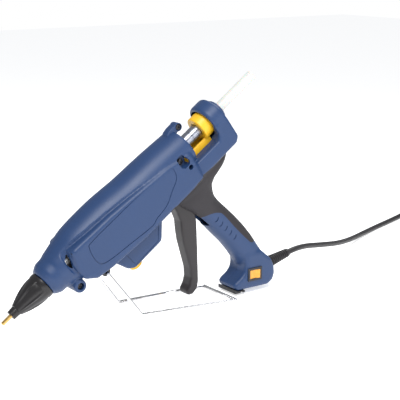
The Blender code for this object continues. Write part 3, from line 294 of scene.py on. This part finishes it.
plug_profile = [(0.6, 0.0), (0.2, 14.6), (0.8, 16.4), (2.4, 17.4), (11.5, 17.4), (13.0, 16.8), (14.6, 15.4)]
for i in range(4):
    along = 16.0 + 2.6 * i
    plug_profile += [(along, 14.6 - 1.7 * i), (along + 1.0, 12.6 - 1.5 * i), (along + 2.0, 13.2 - 1.6 * i)]
plug_profile += [(27.5, 8.6), (31.0, 7.6)]
for i in range(5):
    along = 33.0 + 2.6 * i
    plug_profile += [(along, 7.0 - 0.35 * i), (along + 0.7, 5.9 - 0.3 * i), (along + 1.7, 5.9 - 0.3 * i)]
plug_profile += [(46.8, 5.2), (46.8, 3.6), (44.0, 3.6), (44.0, 0.0)]
plug_rubber = finish("plug_rubber", (0.02, 0.019, 0.021), 0.45, grain=0.3, grain_size=1200.0)
plug = piece(
    "plug_moulding", moved(softened(spun(plug_profile), 0.25, 1), Matrix.Translation(mm(498.0, 44.0, 17.5))),
    plug_rubber, "housing", ("plug_body",),
)
pin_brass = finish("plug_pin_brass", (0.75, 0.60, 0.32), 0.22, metallic=1.0, grain=0.05)
for name, side in (("plug_pin_left", -9.5), ("plug_pin_right", 9.5)):
    pin_profile = [
        (-18.9, 0.0), (-18.9, 1.0), (-18.2, 1.9), (-17.0, 2.38), (-8.0, 2.38), (-7.6, 2.2), (5.4, 2.2),
        (5.4, 0.0),
    ]
    pin = spun(pin_profile, 32)
    piece(
        name + "_turned", moved(pin, Matrix.Translation(mm(498.0, 44.0 + side, 17.5))), pin_brass,
        "housing", (name,),
    )
tie_plastic = finish("tie_plastic", (0.015, 0.015, 0.016), 0.4, grain=0.15)
tie = boxed((628.9, 91.2, 0.05), (653.5, 104.8, 23.3))
side_faces = [f for f in tie.faces if abs(f.normal.y) > 0.9]
bmesh.ops.inset_region(tie, faces=side_faces, thickness=0.0009, use_even_offset=True, use_boundary=True)
inner_faces = [f for f in tie.faces if abs(f.normal.y) > 0.9 and f.calc_area() > 0.0003]
outlines = [e for f in inner_faces for e in f.edges]
bmesh.ops.delete(tie, geom=inner_faces, context="FACES_ONLY")
bmesh.ops.bridge_loops(tie, edges=outlines)
bmesh.ops.recalc_face_normals(tie, faces=tie.faces)
tie_band = piece("coil_tie_band", softened(tie, 0.3, 2, 60), tie_plastic, "housing", ("coil_tie",))

# ---- the housing ----
# Two halves moulded in navy blue plastic with a fine spark texture, meeting on the gun's middle plane.
# The barrel, the flat side panels, the belly box, the feed hoop, the handle and its foot run into each other
# with soft fillets. Screws, the feed window, the trigger bay and the switch hole are cut through it.
TILT = math.radians(36.1)
gun_place = Matrix.Translation(mm(-192.767, 0.0, 22.029)) @ Matrix.Rotation(-TILT, 4, "Y")


def ring(bm, count, shape):
    """A closed ring of points; shape gives the place of each from its angle."""
    made = bmesh.ops.create_circle(bm, segments=count, radius=1.0)["verts"]
    for v in made:
        v.co = mm(*shape(math.atan2(v.co.y, v.co.x)))
    return list({e for v in made for e in v.link_edges})


def lofted(bm, count, shapes):
    """A closed skin through rings, each given as a shape."""
    loops = [ring(bm, count, shape) for shape in shapes]
    for lower, upper in zip(loops, loops[1:]):
        bmesh.ops.bridge_loops(bm, edges=lower + upper)
    for loop in (loops[0], loops[-1]):
        bmesh.ops.contextual_create(bm, geom=loop)
    bmesh.ops.recalc_face_normals(bm, faces=bm.faces)
    return bm


def slab(bm, outline, low, high, rounding=0.0, segments=4):
    """A flat outline of (along, up) points between two places across the gun, with its rims rounded."""
    before = set(bm.faces)
    face = bm.faces.new([bm.verts.new(mm(along, low, up)) for along, up in outline])
    grown = bmesh.ops.extrude_face_region(bm, geom=[face], use_keep_orig=True)
    top = [v for v in grown["geom"] if isinstance(v, bmesh.types.BMVert)]
    bmesh.ops.translate(bm, vec=mm(0.0, high - low, 0.0), verts=top)
    fresh = [f for f in bm.faces if f not in before]
    bmesh.ops.recalc_face_normals(bm, faces=fresh)
    if rounding:
        edges = [
            e for e in {e for f in fresh for e in f.edges}
            if len(e.link_faces) == 2 and e.calc_face_angle(0.0) > math.radians(50)
        ]
        bmesh.ops.bevel(
            bm, geom=edges, offset=rounding * 0.001, segments=segments, profile=0.5, affect="EDGES",
            material=-1, clamp_overlap=True,
        )
    return bm


def post(bm, start, end, radius, count=32, end_radius=None):
    """A round bar between two points in millimetres."""
    start, end = mm(*start), mm(*end)
    middle = (start + end) / 2
    turn = (end - start).to_track_quat("Z", "Y").to_matrix().to_4x4()
    bmesh.ops.create_cone(
        bm, cap_ends=True, segments=count, radius1=radius * 0.001,
        radius2=(radius if end_radius is None else end_radius) * 0.001, depth=(end - start).length,
        matrix=Matrix.Translation(middle) @ turn,
    )
    return bm


def curved(points, steps=6, closed=True):
    """More points along a line, so that it bends smoothly through the given ones."""
    count = len(points)
    result = []
    for i in range(count if closed else count - 1):
        spots = [
            Vector(points[(i + k) % count] if closed else points[min(max(i + k, 0), count - 1)])
            for k in (-1, 0, 1, 2)
        ]
        for step in range(steps):
            t = step / steps
            result.append(tuple(0.5 * (
                2 * spots[1] + (spots[2] - spots[0]) * t
                + (2 * spots[0] - 5 * spots[1] + 4 * spots[2] - spots[3]) * t**2
                + (3 * spots[1] - spots[0] - 3 * spots[2] + spots[3]) * t**3
            )))
    if not closed:
        result.append(tuple(points[-1]))
    return result


barrel_stations = [
    (60, 15.3, 15.3), (62, 17, 17), (68, 20.2, 20.4), (78, 20.6, 21), (80, 21.6, 22.2), (97, 24.5, 26),
    (116, 26.5, 30), (156, 27, 30.6), (192, 26.4, 27.6), (219, 26, 26.6), (242, 25.5, 25.6), (273, 24.5, 23.4),
    (280, 24, 22.6),
]
barrel_stations = barrel_stations[:4] + curved(barrel_stations[4:], 5, False)
handle_stations = [
    (-33, 224, 322.5, 22.2), (-42, 224, 322.5, 22.2), (-47, 229.5, 316, 21.5), (-50, 231, 297, 21),
    (-56, 233.5, 284.5, 20.5), (-64, 237.5, 279.5, 19.5), (-72, 240.5, 276.8, 18.5), (-82, 244, 277.5, 17.5),
    (-98, 247.5, 281, 17), (-115, 250, 284.5, 16.5), (-132, 253, 287, 16.5), (-150, 254.5, 288.3, 17),
    (-164, 254.5, 288, 17.5), (-178, 254, 288, 17.5), (-190, 260, 287, 17),
]


def barrel(bm, inset=0.0):
    shapes = []
    for i, (along, wide, high) in enumerate(barrel_stations):
        if inset and i in (0, len(barrel_stations) - 1):
            along += -1 if i == 0 else 1
        shapes.append(lambda a, x=along, w=wide - inset, h=high - inset: (x, w * math.cos(a), h * math.sin(a)))
    return lofted(bm, 72, shapes)


def handle(bm, inset=0.0, top=None):
    shapes = []
    for up, front, back, half in handle_stations:
        if -57 < up < -45:
            up += inset
        middle, depth, wide = (front + back) / 2, (back - front) / 2 - inset, half - inset

        def squarish(a, up=up, middle=middle, depth=depth, wide=wide):
            c, s = math.cos(a), math.sin(a)
            x = math.copysign(abs(c) ** 0.87, c) * depth
            y = math.copysign(abs(s) ** 0.87, s) * wide
            return (middle + x, y, up)
        shapes.append(squarish)
        if len(shapes) == 1 and top is not None:
            shapes.insert(0, lambda a, first=squarish: (first(a)[0], first(a)[1], top))
    return lofted(bm, 56, shapes)


def side_panels(bm, inset=0.0):
    outline = [
        (91.5 + inset, -5), (93 + inset, -19 + inset), (104, -29 + inset), (126, -33 + inset),
        (175, -37 + inset), (271, -37 + inset), (274 - inset, 1), (237, 8 - inset), (185, 13.4 - inset),
        (156, 16 - inset),
        (126, 17 - inset), (98, 18.2 - inset),
    ]
    return slab(bm, outline, -28 + inset, 28 - inset, 0.0 if inset else 4.5)


def belly(bm, inset=0.0):
    outline = [
        (129 + inset, -31), (140 + inset, -56 + inset / 2), (147 + inset / 2, -61.5 + inset),
        (190 - inset / 2, -61.5 + inset), (193 - inset, -58.5 + inset), (209 - inset, -38), (209 - inset, -31),
    ]
    return slab(bm, outline, -15.5 + inset, 15.5 - inset, 0.0 if inset else 3.0)


def room_point(x, z):
    """A point of the room's frame, seen from the gun's."""
    spot = gun_place.inverted() @ mm(x, 0.0, z)
    return spot.x * 1000, spot.z * 1000


SOLE_X, SOLE_UP = 130.8, 5.5


def foot(bm, inset=0.0):
    x, z = SOLE_X - 33.5, SOLE_UP
    corners = [
        (0, 3), (5, 0), (51, 0), (58.5, 4.5), (61.8, 13), (61, 23), (55.5, 33), (40, 46), (15, 46), (16.5, 34),
        (17, 28), (15.5, 21.5), (11, 16), (4, 11.5), (0, 8),
    ]
    middle = Vector((x + 32, z + 22))
    outline = []
    for corner in corners:
        spot = Vector((x + corner[0], z + corner[1]))
        spot += (middle - spot).normalized() * inset * 1.25
        outline.append(room_point(*spot))
    return slab(bm, outline, -18 + inset, 18 - inset, 0.0 if inset else 4.5)


def solid(name, bm):
    """A working solid, linked into the scene until it is thrown away."""
    mesh = bpy.data.meshes.new(name)
    bm.to_mesh(mesh)
    bm.free()
    made = bpy.data.objects.new(name, mesh)
    studio.collection.objects.link(made)
    return made


def worked(made, *steps):
    """Applies modifiers, each given as (type, {setting: value}), and keeps the result as the mesh."""
    for kind, settings in steps:
        modifier = made.modifiers.new(kind.lower(), kind)
        for setting, value in settings.items():
            setattr(modifier, setting, value)
    graph = bpy.context.evaluated_depsgraph_get()
    result = bpy.data.meshes.new_from_object(made.evaluated_get(graph))
    made.modifiers.clear()
    old = made.data
    made.data = result
    bpy.data.meshes.remove(old)
    return made


def combined(made, operation, *tools):
    """Joins, cuts or keeps by other working solids, which stay in the scene."""
    steps = [("BOOLEAN", {"object": tool, "operation": operation, "solver": "MANIFOLD"}) for tool in tools]
    worked(made, *steps)
    return made


def thrown_away(*solids):
    for made in solids:
        bpy.data.objects.remove(made)


forms = bmesh.new()
for make_form in (barrel, side_panels, belly, handle, foot):
    part_form = bmesh.new()
    make_form(part_form)
    scratch = bpy.data.meshes.new("form")
    part_form.to_mesh(scratch)
    part_form.free()
    forms.from_mesh(scratch)
    bpy.data.meshes.remove(scratch)
rear_outline = [
    (250, -36.5), (330, -36.5), (336, -31), (336, 0), (316, 0), (316, -12), (311, -17.5), (250, -17.5),
]
slab(forms, rear_outline, -24, 24, 3.0)
for first, last, wide in ((318.5, 335.6, 23.0), (317.0, 319.0, 22.0)):
    part_form = lofted(bmesh.new(), 72, [
        lambda a, x=x, w=w: (x, w * math.cos(a), (w - 2.0) * math.sin(a))
        for x, w in ((first, wide - 0.8), (first + 1, wide), (last - 1.2, wide), (last, wide - 1.2))
    ])
    scratch = bpy.data.meshes.new("form")
    part_form.to_mesh(scratch)
    part_form.free()
    forms.from_mesh(scratch)
    bpy.data.meshes.remove(scratch)
post(forms, (85.4, -19.4, -24.3), (85.4, 19.4, -24.3), 7.5, 40)
post(forms, (323.5, -22.6, -26.5), (323.5, 22.6, -26.5), 4.4, 32)
whole = solid("housing_form", forms)
worked(
    whole,
    ("REMESH", {"mode": "VOXEL", "voxel_size": 0.00095, "adaptivity": 0.0}),
    ("SMOOTH", {"factor": 0.5, "iterations": 14}),
)


def bar_through(bm, rings, closed=False):
    """Joins four-cornered rings into one bar, with its ends closed or the last ring joined to the first."""
    for first, second in list(zip(rings, rings[1:])) + ([(rings[-1], rings[0])] if closed else []):
        for k in range(4):
            bm.faces.new([first[k], first[(k + 1) % 4], second[(k + 1) % 4], second[k]])
    if not closed:
        bm.faces.new(rings[0])
        bm.faces.new(rings[-1][::-1])
    bmesh.ops.recalc_face_normals(bm, faces=bm.faces)
    return bm


def channel(bm, stations):
    """A cutter of changing section: each station is (along, floor across the gun, lower edge, upper edge)."""
    rings = []
    for along, floor_at, low, high in stations:
        corners = ((-CLEAR_OF_SIDE, low), (-CLEAR_OF_SIDE, high), (-floor_at, high), (-floor_at, low))
        rings.append([bm.verts.new(mm(along, y, v)) for y, v in corners])
    return bar_through(bm, rings)


# The panels' upper edges stand off the barrel over a crease, deepest in a pocket at the front.
CLEAR_OF_SIDE = 40.0
crease = [
    (96.5, 14.6, 18.2, 24.0), (104.0, 16.0, 18.0, 23.6), (126.0, 19.0, 17.2, 21.6), (156.0, 20.4, 16.2, 19.4),
    (185.0, 21.6, 13.8, 16.0), (212.0, 22.9, 10.8, 12.2), (235.0, 24.0, 8.4, 9.2),
]
nose_pocket = [
    (-10.0, 21.6, 88.0, 91.6), (2.0, 20.6, 86.6, 92.0), (12.0, 17.6, 87.4, 95.2), (20.0, 14.2, 90.0, 99.0),
]
creases = []
for mirrored in (False, True):
    for stations, stands_up in ((crease, False), (nose_pocket, True)):
        cutter = channel(bmesh.new(), stations)
        for v in cutter.verts:
            if stands_up:
                v.co = Vector((v.co.z, v.co.y, v.co.x))
            if mirrored:
                v.co.y = -v.co.y
        bmesh.ops.recalc_face_normals(cutter, faces=cutter.faces)
        creases.append(solid(f"crease_{len(creases)}", cutter))
combined(whole, "DIFFERENCE", *creases)
worked(
    whole,
    ("REMESH", {"mode": "VOXEL", "voxel_size": 0.0009, "adaptivity": 0.0}),
    ("SMOOTH", {"factor": 0.5, "iterations": 3}),
)

# Small features come after the smoothing, so that they stay crisp: the boss on top, then every opening.
added = post(bmesh.new(), (286.8, -5.5, 22.2), (286.8, 5.5, 22.2), 4.8, 40)
ridge = slab(
    bmesh.new(), [(262, 17), (271, 25.4), (277, 26.7), (286.8, 26.9), (288, 18.5), (278, 17.5)],
    -5.2, 5.2, 1.0, 3,
)
combined(whole, "UNION", solid("boss", softened(added, 0.5, 3, 60)), solid("ridge", ridge))
WALL = 2.6
hollow = []
for number, form in enumerate((barrel, side_panels, belly, foot)):
    hollow.append(solid(f"hollow_{number}", form(bmesh.new(), WALL)))
hollow.append(solid("hollow_handle", handle(bmesh.new(), WALL, top=-22.0)))
hollow.append(solid("hollow_spine", boxed((253, -21.4, -32.2), (330, 21.4, -20.5))))
hollow.append(solid("hoop_cavity", lofted(bmesh.new(), 64, [
    lambda a, x=x, w=w: (x, w * math.cos(a), (w - 2.0) * math.sin(a))
    for x, w in ((312.0, 19.4), (332.6, 19.0))
])))
hollow.append(solid("hoop_well", boxed((319, -20.4, -22), (333, 20.4, -2))))
combined(whole, "DIFFERENCE", *hollow)

bosses = [
    post(bmesh.new(), (259, -27.4, -2), (259, -16.5, -2), 7.0),
    post(bmesh.new(), (263.5, -27.4, -12.5), (263.5, -11.5, -12.5), 4.4),
    post(bmesh.new(), (244.5, -14, -46), (244.5, -10.2, -46), 4.5),
    post(bmesh.new(), (244.5, 10.2, -46), (244.5, 14, -46), 4.5),
]
combined(whole, "UNION", *[solid(f"screw_post_{i}", bm) for i, bm in enumerate(bosses)])

bay = [(219, -23), (256, -23), (262, -52), (256, -97), (219, -97)]
openings = [
    slab(bmesh.new(), bay, -9.9, 9.9, 1.2), boxed((260, -9.6, -24), (324, 9.6, -8)),
    post(bmesh.new(), (330, 0, 0), (340, 0, 0), 10.2, 64),
    post(bmesh.new(), (153.5, 0, -64.5), (153.5, 0, -55.5), 3.6),
    post(bmesh.new(), (117, -19.5, -33.5), (117, 19.5, -33.5), 5.8), boxed((58, -30, -30), (60, 30, 30)),
    post(bmesh.new(), (85.4, -22, -24.3), (85.4, -14.5, -24.3), 4.1),
    post(bmesh.new(), (85.4, -15, -24.3), (85.4, 18.2, -24.3), 2.0),
    post(bmesh.new(), (286.8, -8, 22.2), (286.8, -2.7, 22.2), 3.9),
    post(bmesh.new(), (286.8, -3, 22.2), (286.8, 3.7, 22.2), 2.0),
    post(bmesh.new(), (323.5, 25, -26.5), (323.5, 17.5, -26.5), 4.1),
    post(bmesh.new(), (323.5, 18, -26.5), (323.5, -21.2, -26.5), 2.0),
    slab(bmesh.new(), [
        (254, 4.2), (256, 5.8), (262, 5.8), (264.6, 3.6), (266.5, -4.5), (265, -8), (262.5, -8.7), (257, -8.7),
        (253.6, -5.5), (253, 0),
    ], -30, -18.7, 1.0, 2),
    post(bmesh.new(), (259, -29, -2), (259, -12, -2), 2.0),
    post(bmesh.new(), (263.5, -29, -12.5), (263.5, -18.7, -12.5), 3.0),
    post(bmesh.new(), (263.5, -29, -12.5), (263.5, -12.7, -12.5), 2.0),
    post(bmesh.new(), (244.5, -13.8, -46), (244.5, 13.8, -46), 2.3),
]
room_openings = [
    boxed((117.15, -21, 16.5), (135.65, -13, 30.5)),
    post(
        bmesh.new(), (relief_tip - relief_axis * 0.009) * 1000, (relief_tip + relief_axis * 0.008) * 1000,
        7.0, 48,
    ),
]
openings += [moved(bm, gun_place.inverted()) for bm in room_openings]
combined(whole, "DIFFERENCE", *[solid(f"opening_{i}", bm) for i, bm in enumerate(openings)])


def groove(points, y, depth, width, closed=True):
    """A cutter for a fine groove: a thin square bar along a line of (along, up) points on a flat side."""
    bm = bmesh.new()
    count = len(points)
    outer, inner = (y - 3.0, y + depth) if y < 0 else (y + 3.0, y - depth)
    rings = []
    for i, point in enumerate(points):
        before = Vector(points[(i - 1) % count] if closed else points[max(i - 1, 0)])
        after = Vector(points[(i + 1) % count] if closed else points[min(i + 1, count - 1)])
        run = (after - before).normalized()
        across = Vector((-run.y, run.x)) * width / 2
        left, right = Vector(point) + across, Vector(point) - across
        rings.append([bm.verts.new(mm(spot.x, up, spot.y)) for spot, up in (
            (left, outer), (left, inner), (right, inner), (right, outer)
        )])
    return bar_through(bm, rings, closed)


lozenge = [
    (120, 10), (145, 10.3), (176, 9.8), (207, 8.7), (237, 8.2), (244, 4.7), (242, -8.8), (229, -16.5),
    (214, -24.9), (196, -27.4), (187, -30), (158, -26.2), (128, -22), (116, -17.5), (113.4, -9),
    (114, -1), (116, 6.5),
]
grooves = [groove(curved(lozenge, 3), -28.0, 0.7, 0.9), groove(curved(lozenge, 3), 28.0, 0.7, 0.9)]
belly_line = [(147, -40), (149.4, -58), (186, -57), (205.0, -33)]
for y in (-15.5, 15.5):
    grooves.append(groove(belly_line, y, 0.6, 0.8, False))
for i in range(5):
    near_front = (252.5 + 1.6 * i, -93.5 - 9.0 * i)
    bend = [(near_front[0] + a, near_front[1] + b) for a, b in ((0, 0), (3.0, -1.8), (6.0, -1.6), (9.0, 0.8))]
    for y in (-17.0, 17.0):
        grooves.append(groove(curved(bend, 3, False), y, 2.2, 1.0, False))
combined(whole, "DIFFERENCE", *[solid(f"groove_{i}", bm) for i, bm in enumerate(grooves)])

far_side = solid("far_side", boxed((-60, 0.12, -420), (520, 120, 200)))
near_side = solid("near_side", boxed((-60, -120, -420), (520, -0.12, 200)))

# The soft grip takes the handle's back and its web out of the halves, through the whole wall.
grip_outline = [
    (340, -37.0), (309, -37.2), (291, -35.8), (272, -33.6), (258, -34.2), (244.6, -38.4), (230, -38.2),
    (220, -34.0), (214, -40.0), (242, -79), (247, -80), (256, -82.5), (264, -88), (268.6, -96), (272, -121),
    (276, -144), (279.5, -154), (292, -160.5),
]
grip_corner = (340, -160.5)
grip_region = solid("grip_region", slab(bmesh.new(), curved(grip_outline, 4, False) + [grip_corner], -40, 40))
grip = whole.copy()
grip.data = whole.data.copy()
studio.collection.objects.link(grip)
core = solid("grip_core", handle(bmesh.new(), 1.6, top=-20))
combined(grip, "INTERSECT", grip_region)
combined(whole, "DIFFERENCE", grip_region)

navy = finish(
    "navy_moulding", (0.017, 0.047, 0.135), 0.42, grain=0.16, grain_size=1400.0, mottle=0.06,
    Specular_IOR_Level=0.45,
)
soft_black = finish("soft_grip_rubber", (0.018, 0.015, 0.019), 0.62, grain=0.3, grain_size=1600.0, mottle=0.1)
shells = ((whole, "housing", navy, "housing"), (grip, "grip", soft_black, "rubber"))
for side, region in (("left", near_side), ("right", far_side)):
    for source, what, paint, slot_name in shells:
        half = source.copy()
        half.data = source.data.copy()
        half.name = f"{side}_{what}_moulding"
        half.data.name = half.name
        studio.collection.objects.link(half)
        combined(half, "INTERSECT", region)
        half.data.transform(gun_place)
        half.data.materials.clear()
        half.data.materials.append(paint)
        half.data.shade_smooth()
        half.data.set_sharp_from_angle(angle=math.radians(40))
        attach(half, "housing")
        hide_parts(f"{side}_{what}")
leftovers = [o for o in studio.objects if o.type == "MESH" and o.parent is None and o is not floor]
thrown_away(*leftovers)

# ---- the nozzle and its sleeve ----
# The nozzle is turned from brass, with a threaded shank inside the barrel. The sleeve is moulded from black
# heat-resistant plastic, with six fins along its cone, and grips the barrel's front ring.
nozzle_brass = finish("nozzle_brass", (0.72, 0.47, 0.16), 0.28, metallic=1.0, grain=0.06)
nozzle_profile = [
    (0, 0.9), (0, 1.4), (0.5, 2.0), (1, 2.2), (13, 2.3), (17, 3.2), (30, 6), (32, 8.2), (46, 8.2), (47, 9.5),
    (61.7, 9.5), (61.7, 2), (59.5, 2), (57, 3.6), (38, 3.6), (37, 1.6), (30, 0.9), (0, 0.9),
]
nozzle = moved(spun(nozzle_profile, 48), gun_place)
piece("nozzle_turned", nozzle, nozzle_brass, "housing", ("nozzle",))
sleeve_outside = [
    (12.5, 5.4), (16.5, 5.7), (20.5, 5.9), (21, 6.8), (25.3, 7.9), (29.7, 9.1), (34, 10.2), (38, 11.2),
    (41.5, 12.2), (45, 13), (48.5, 13.8), (52, 14.4), (54, 14.4), (55, 15.1), (59.2, 15.1), (59.7, 14.6),
]
sleeve_inside = [
    (59.7, 9.9), (46.5, 9.9), (45.5, 8.6), (31.5, 8.6), (29.5, 6.5), (17.5, 3.8), (12.5, 2.8), (12.5, 5.4),
]
FINS, FIN_HEIGHT = 6, 1.5
sleeve = spun(sleeve_outside + sleeve_inside, 108)
for v in sleeve.verts:
    along, radius = v.co.x * 1000, math.hypot(v.co.y, v.co.z) * 1000
    outer = 5.9 + (along - 20.5) * 0.27
    if 21 < along < 53 and radius > outer - 0.9:
        fin = max(0.0, math.cos(FINS * math.atan2(v.co.z, v.co.y))) ** 8
        grow = 1.0 + FIN_HEIGHT * fin * math.sin(math.pi * (along - 20.5) / 33.0) / radius
        v.co.y *= grow
        v.co.z *= grow
sleeve_black = finish("sleeve_black", (0.012, 0.011, 0.012), 0.3, grain=0.1, mottle=0.2)
piece(
    "nozzle_sleeve_moulding", moved(sleeve, gun_place), sleeve_black, "housing", ("nozzle_sleeve",),
)

# ---- the glue stick and the guide tube ----
# The stick is cloudy hot-melt glue, 12 mm thick. It runs through a rolled steel tube with pressed bands.
cloudy_glue = finish(
    "cloudy_glue", (0.66, 0.67, 0.63), 0.35, mottle=0.03, Subsurface_Weight=0.25, Subsurface_Scale=0.006,
)
stick = spun([(202, 0), (202, 5.6), (202.4, 6), (401.6, 6), (402, 5.6), (402, 0)], 48)
piece("glue_stick_cast", moved(stick, gun_place), cloudy_glue, "stick", ("glue_stick",))
tube_steel = finish("tube_steel", (0.34, 0.36, 0.42), 0.3, metallic=1.0, grain=0.08)
tube_profile = [(221.3, 6.5), (221.3, 7.6)]
for band in (236, 252, 268, 281, 294, 302):
    tube_profile += [(band - 0.9, 7.6), (band - 0.5, 7.25), (band + 0.5, 7.25), (band + 0.9, 7.6)]
tube_profile += [(307.5, 7.6), (307.5, 6.5), (221.3, 6.5)]
piece(
    "guide_tube_rolled", moved(spun(tube_profile), gun_place), tube_steel, "housing", ("guide_tube",),
)

# ---- the trigger and the feed carriage ----
# The lever is a solid moulding in warm black plastic with every edge well rounded. The carriage is moulded in
# yellow plastic: a drum round the tube on two rails that the lever's arm pulls forward.


def rounded_copy(name, node_name, paint, body, voxel, passes):
    """The node's own solid, merged, cut into fine faces and smoothed until its edges are soft."""
    bm = bmesh.new()
    node = frame["nodes"][node_name]
    bm.from_mesh(node.data)
    bmesh.ops.transform(bm, matrix=node.matrix_world, verts=bm.verts)
    bmesh.ops.remove_doubles(bm, verts=bm.verts, dist=0.00001)
    rough = solid(name + "_rough", bm)
    worked(
        rough, ("REMESH", {"mode": "VOXEL", "voxel_size": voxel * 0.001, "adaptivity": 0.0}),
        ("SMOOTH", {"factor": 0.5, "iterations": passes}),
    )
    bm = bmesh.new()
    bm.from_mesh(rough.data)
    thrown_away(rough)
    return piece(name, bm, paint, body, (node_name,), smooth_angle=0)


lever_black = finish("lever_black", (0.017, 0.014, 0.016), 0.42, grain=0.15, grain_size=1500.0)
rounded_copy("trigger_moulding", "trigger", lever_black, "trigger", 0.8, 8)
carriage_yellow = finish("carriage_yellow", (0.88, 0.50, 0.02), 0.38, grain=0.08, mottle=0.08)
rounded_copy("feed_carriage_moulding", "feed_carriage", carriage_yellow, "carriage", 0.6, 3)

# ---- the wire stand ----
# One 4 mm steel wire, bent into a loop and chromed. Its two ends turn inwards and pivot in the bracket.
WIRE_RADIUS = 2.0
half_route = [
    ((-78.49, 11.2, 63.9), 0.0), ((-78.49, 24.0, 63.9), 4.5), ((-41.0, 24.0, 2.0), 7.0),
    ((108.0, 58.0, 2.0), 21.0),
]
route = [((x, -y, z), r) for (x, y, z), r in half_route] + half_route[::-1]
wire_points = []
for i, (corner, bend) in enumerate(route):
    corner = Vector(corner)
    if not bend:
        wire_points.append(corner)
        continue
    before, after = Vector(route[i - 1][0]), Vector(route[i + 1][0])
    back, ahead = (before - corner).normalized(), (after - corner).normalized()
    half_angle = back.angle(ahead) / 2
    centre = corner + (back + ahead).normalized() * (bend / math.sin(half_angle))
    first, last = corner + back * bend / math.tan(half_angle), corner + ahead * bend / math.tan(half_angle)
    for step in range(13):
        spot = (first - centre).slerp(last - centre, step / 12)
        wire_points.append(centre + spot)
wire_curve = bpy.data.curves.new("stand_wire_bent", "CURVE")
wire_curve.dimensions = "3D"
wire_curve.bevel_depth = WIRE_RADIUS * 0.001
wire_curve.bevel_resolution = 5
wire_curve.use_fill_caps = True
wire_spline = wire_curve.splines.new("POLY")
wire_spline.points.add(len(wire_points) - 1)
for knot, spot in zip(wire_spline.points, wire_points):
    knot.co = (*(spot * 0.001), 1.0)
chrome = finish("stand_chrome", (0.72, 0.72, 0.73), 0.14, metallic=1.0, grain=0.02)
stand = bpy.data.objects.new("stand_wire_bent", wire_curve)
studio.collection.objects.link(stand)
stand.data.materials.append(chrome)
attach(stand, "stand")
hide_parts("stand_wire")

# ---- the screws ----
# Pan-headed thread-forming screws in black oxide, with a crossed recess. They hold the halves together and
# sit at the bottom of their holes.
oxide = finish("black_oxide", (0.05, 0.05, 0.055), 0.32, metallic=1.0, grain=0.1)
screw_sides = (
    ("front_screw", 1), ("top_screw", 1), ("side_screw", 1), ("small_side_screw", 1), ("rear_screw", -1),
)
for name, near in screw_sides:
    node = frame["nodes"][name]
    corners = [node.matrix_world @ Vector(corner) for corner in node.bound_box]
    low = [min(c[k] for c in corners) for k in range(3)]
    high = [max(c[k] for c in corners) for k in range(3)]
    length = (high[1] - low[1]) * 1000
    head = (high[2] - low[2]) * 500
    screw = spun([
        (0, 0), (0, head - 1.1), (0.35, head - 0.4), (1.0, head), (2.2, head), (2.4, head - 0.2), (2.4, 1.7),
        (length - 1.2, 1.7), (length, 0.9), (length, 0),
    ], 40)
    shank = solid(name + "_shank", screw)
    size = head * 0.6
    crosses = [
        solid("cross_a", boxed((-1, -size, -0.45), (1.5, size, 0.45))),
        solid("cross_b", boxed((-1, -0.45, -size), (1.5, 0.45, size))),
    ]
    combined(shank, "DIFFERENCE", *crosses)
    thrown_away(*crosses)
    screw = bmesh.new()
    screw.from_mesh(shank.data)
    thrown_away(shank)
    start = low[1] if near > 0 else high[1]
    place = Matrix.Translation(Vector(((low[0] + high[0]) / 2, start, (low[2] + high[2]) / 2)))
    turn = Matrix.Rotation(math.radians(90 * near), 4, "Z") @ Matrix.Rotation(math.radians(25), 4, "X")
    piece(name + "_turned", moved(screw, place @ turn), oxide, "housing", (name,), 30.0)

# ---- the strain relief ----
# A ribbed rubber sleeve moulded round the lead. Its flange is held between the halves at the handle's heel.
relief_profile = [(-9, 1.8), (-9, 8.6), (-7, 8.6), (-7, 6.6), (2.2, 6.6), (2.2, 7.2), (4.0, 7.2)]
for i in range(9):
    along = 4.6 + 3.0 * i
    wide = 7.1 - (along - 4.0) * 0.07
    relief_profile += [
        (along, wide - 1.0), (along + 0.9, wide - 1.0), (along + 1.2, wide), (along + 2.4, wide),
    ]
relief_profile += [(33.4, 5.0), (34, 4.7), (34, 3.9), (20, 3.9), (20, 1.8), (-9, 1.8)]
relief_place = Matrix.Translation(relief_tip) @ Matrix.Rotation(-relief_lean, 4, "Y")
piece(
    "strain_relief_moulding", moved(spun(relief_profile, 48), relief_place), lead_rubber, "housing",
    ("strain_relief",),
)

# ---- everything inside, and the small parts outside ----
# The heaters, chamber, springs, board, leads, switch, dial and clip keep the frame's own plain solids.
# Each takes a finish for what it is made of.
finishes = {
    "steel": finish("bright_steel", (0.50, 0.50, 0.52), 0.25, metallic=1.0, grain=0.05),
    "brass": nozzle_brass,
    "aluminium": finish("cast_aluminium", (0.7, 0.71, 0.72), 0.4, metallic=1.0, grain=0.2),
    "sleeve": sleeve_black,
    "plastic": finish("black_plastic", (0.015, 0.015, 0.018), 0.4, grain=0.2),
    "rubber": lead_rubber,
    "housing": navy,
    "yellow": carriage_yellow,
    "amber": finish("amber_plastic", (0.80, 0.36, 0.04), 0.2, mottle=0.25, patch_size=300.0),
    "silicone": finish("red_silicone", (0.45, 0.12, 0.08), 0.6, grain=0.2),
    "board": finish("green_board", (0.02, 0.16, 0.07), 0.35, mottle=0.3, patch_size=400.0),
    "ceramic": finish("white_ceramic", (0.8, 0.78, 0.72), 0.7, grain=0.3),
    "glue": cloudy_glue,
    "lead": finish("red_lead", (0.30, 0.05, 0.04), 0.5, grain=0.1),
}
for entry in frame["record"]["subparts"]:
    node = frame["nodes"][entry["node"]]
    node.data.materials.clear()
    node.data.materials.append(finishes[entry["material_slot"]])
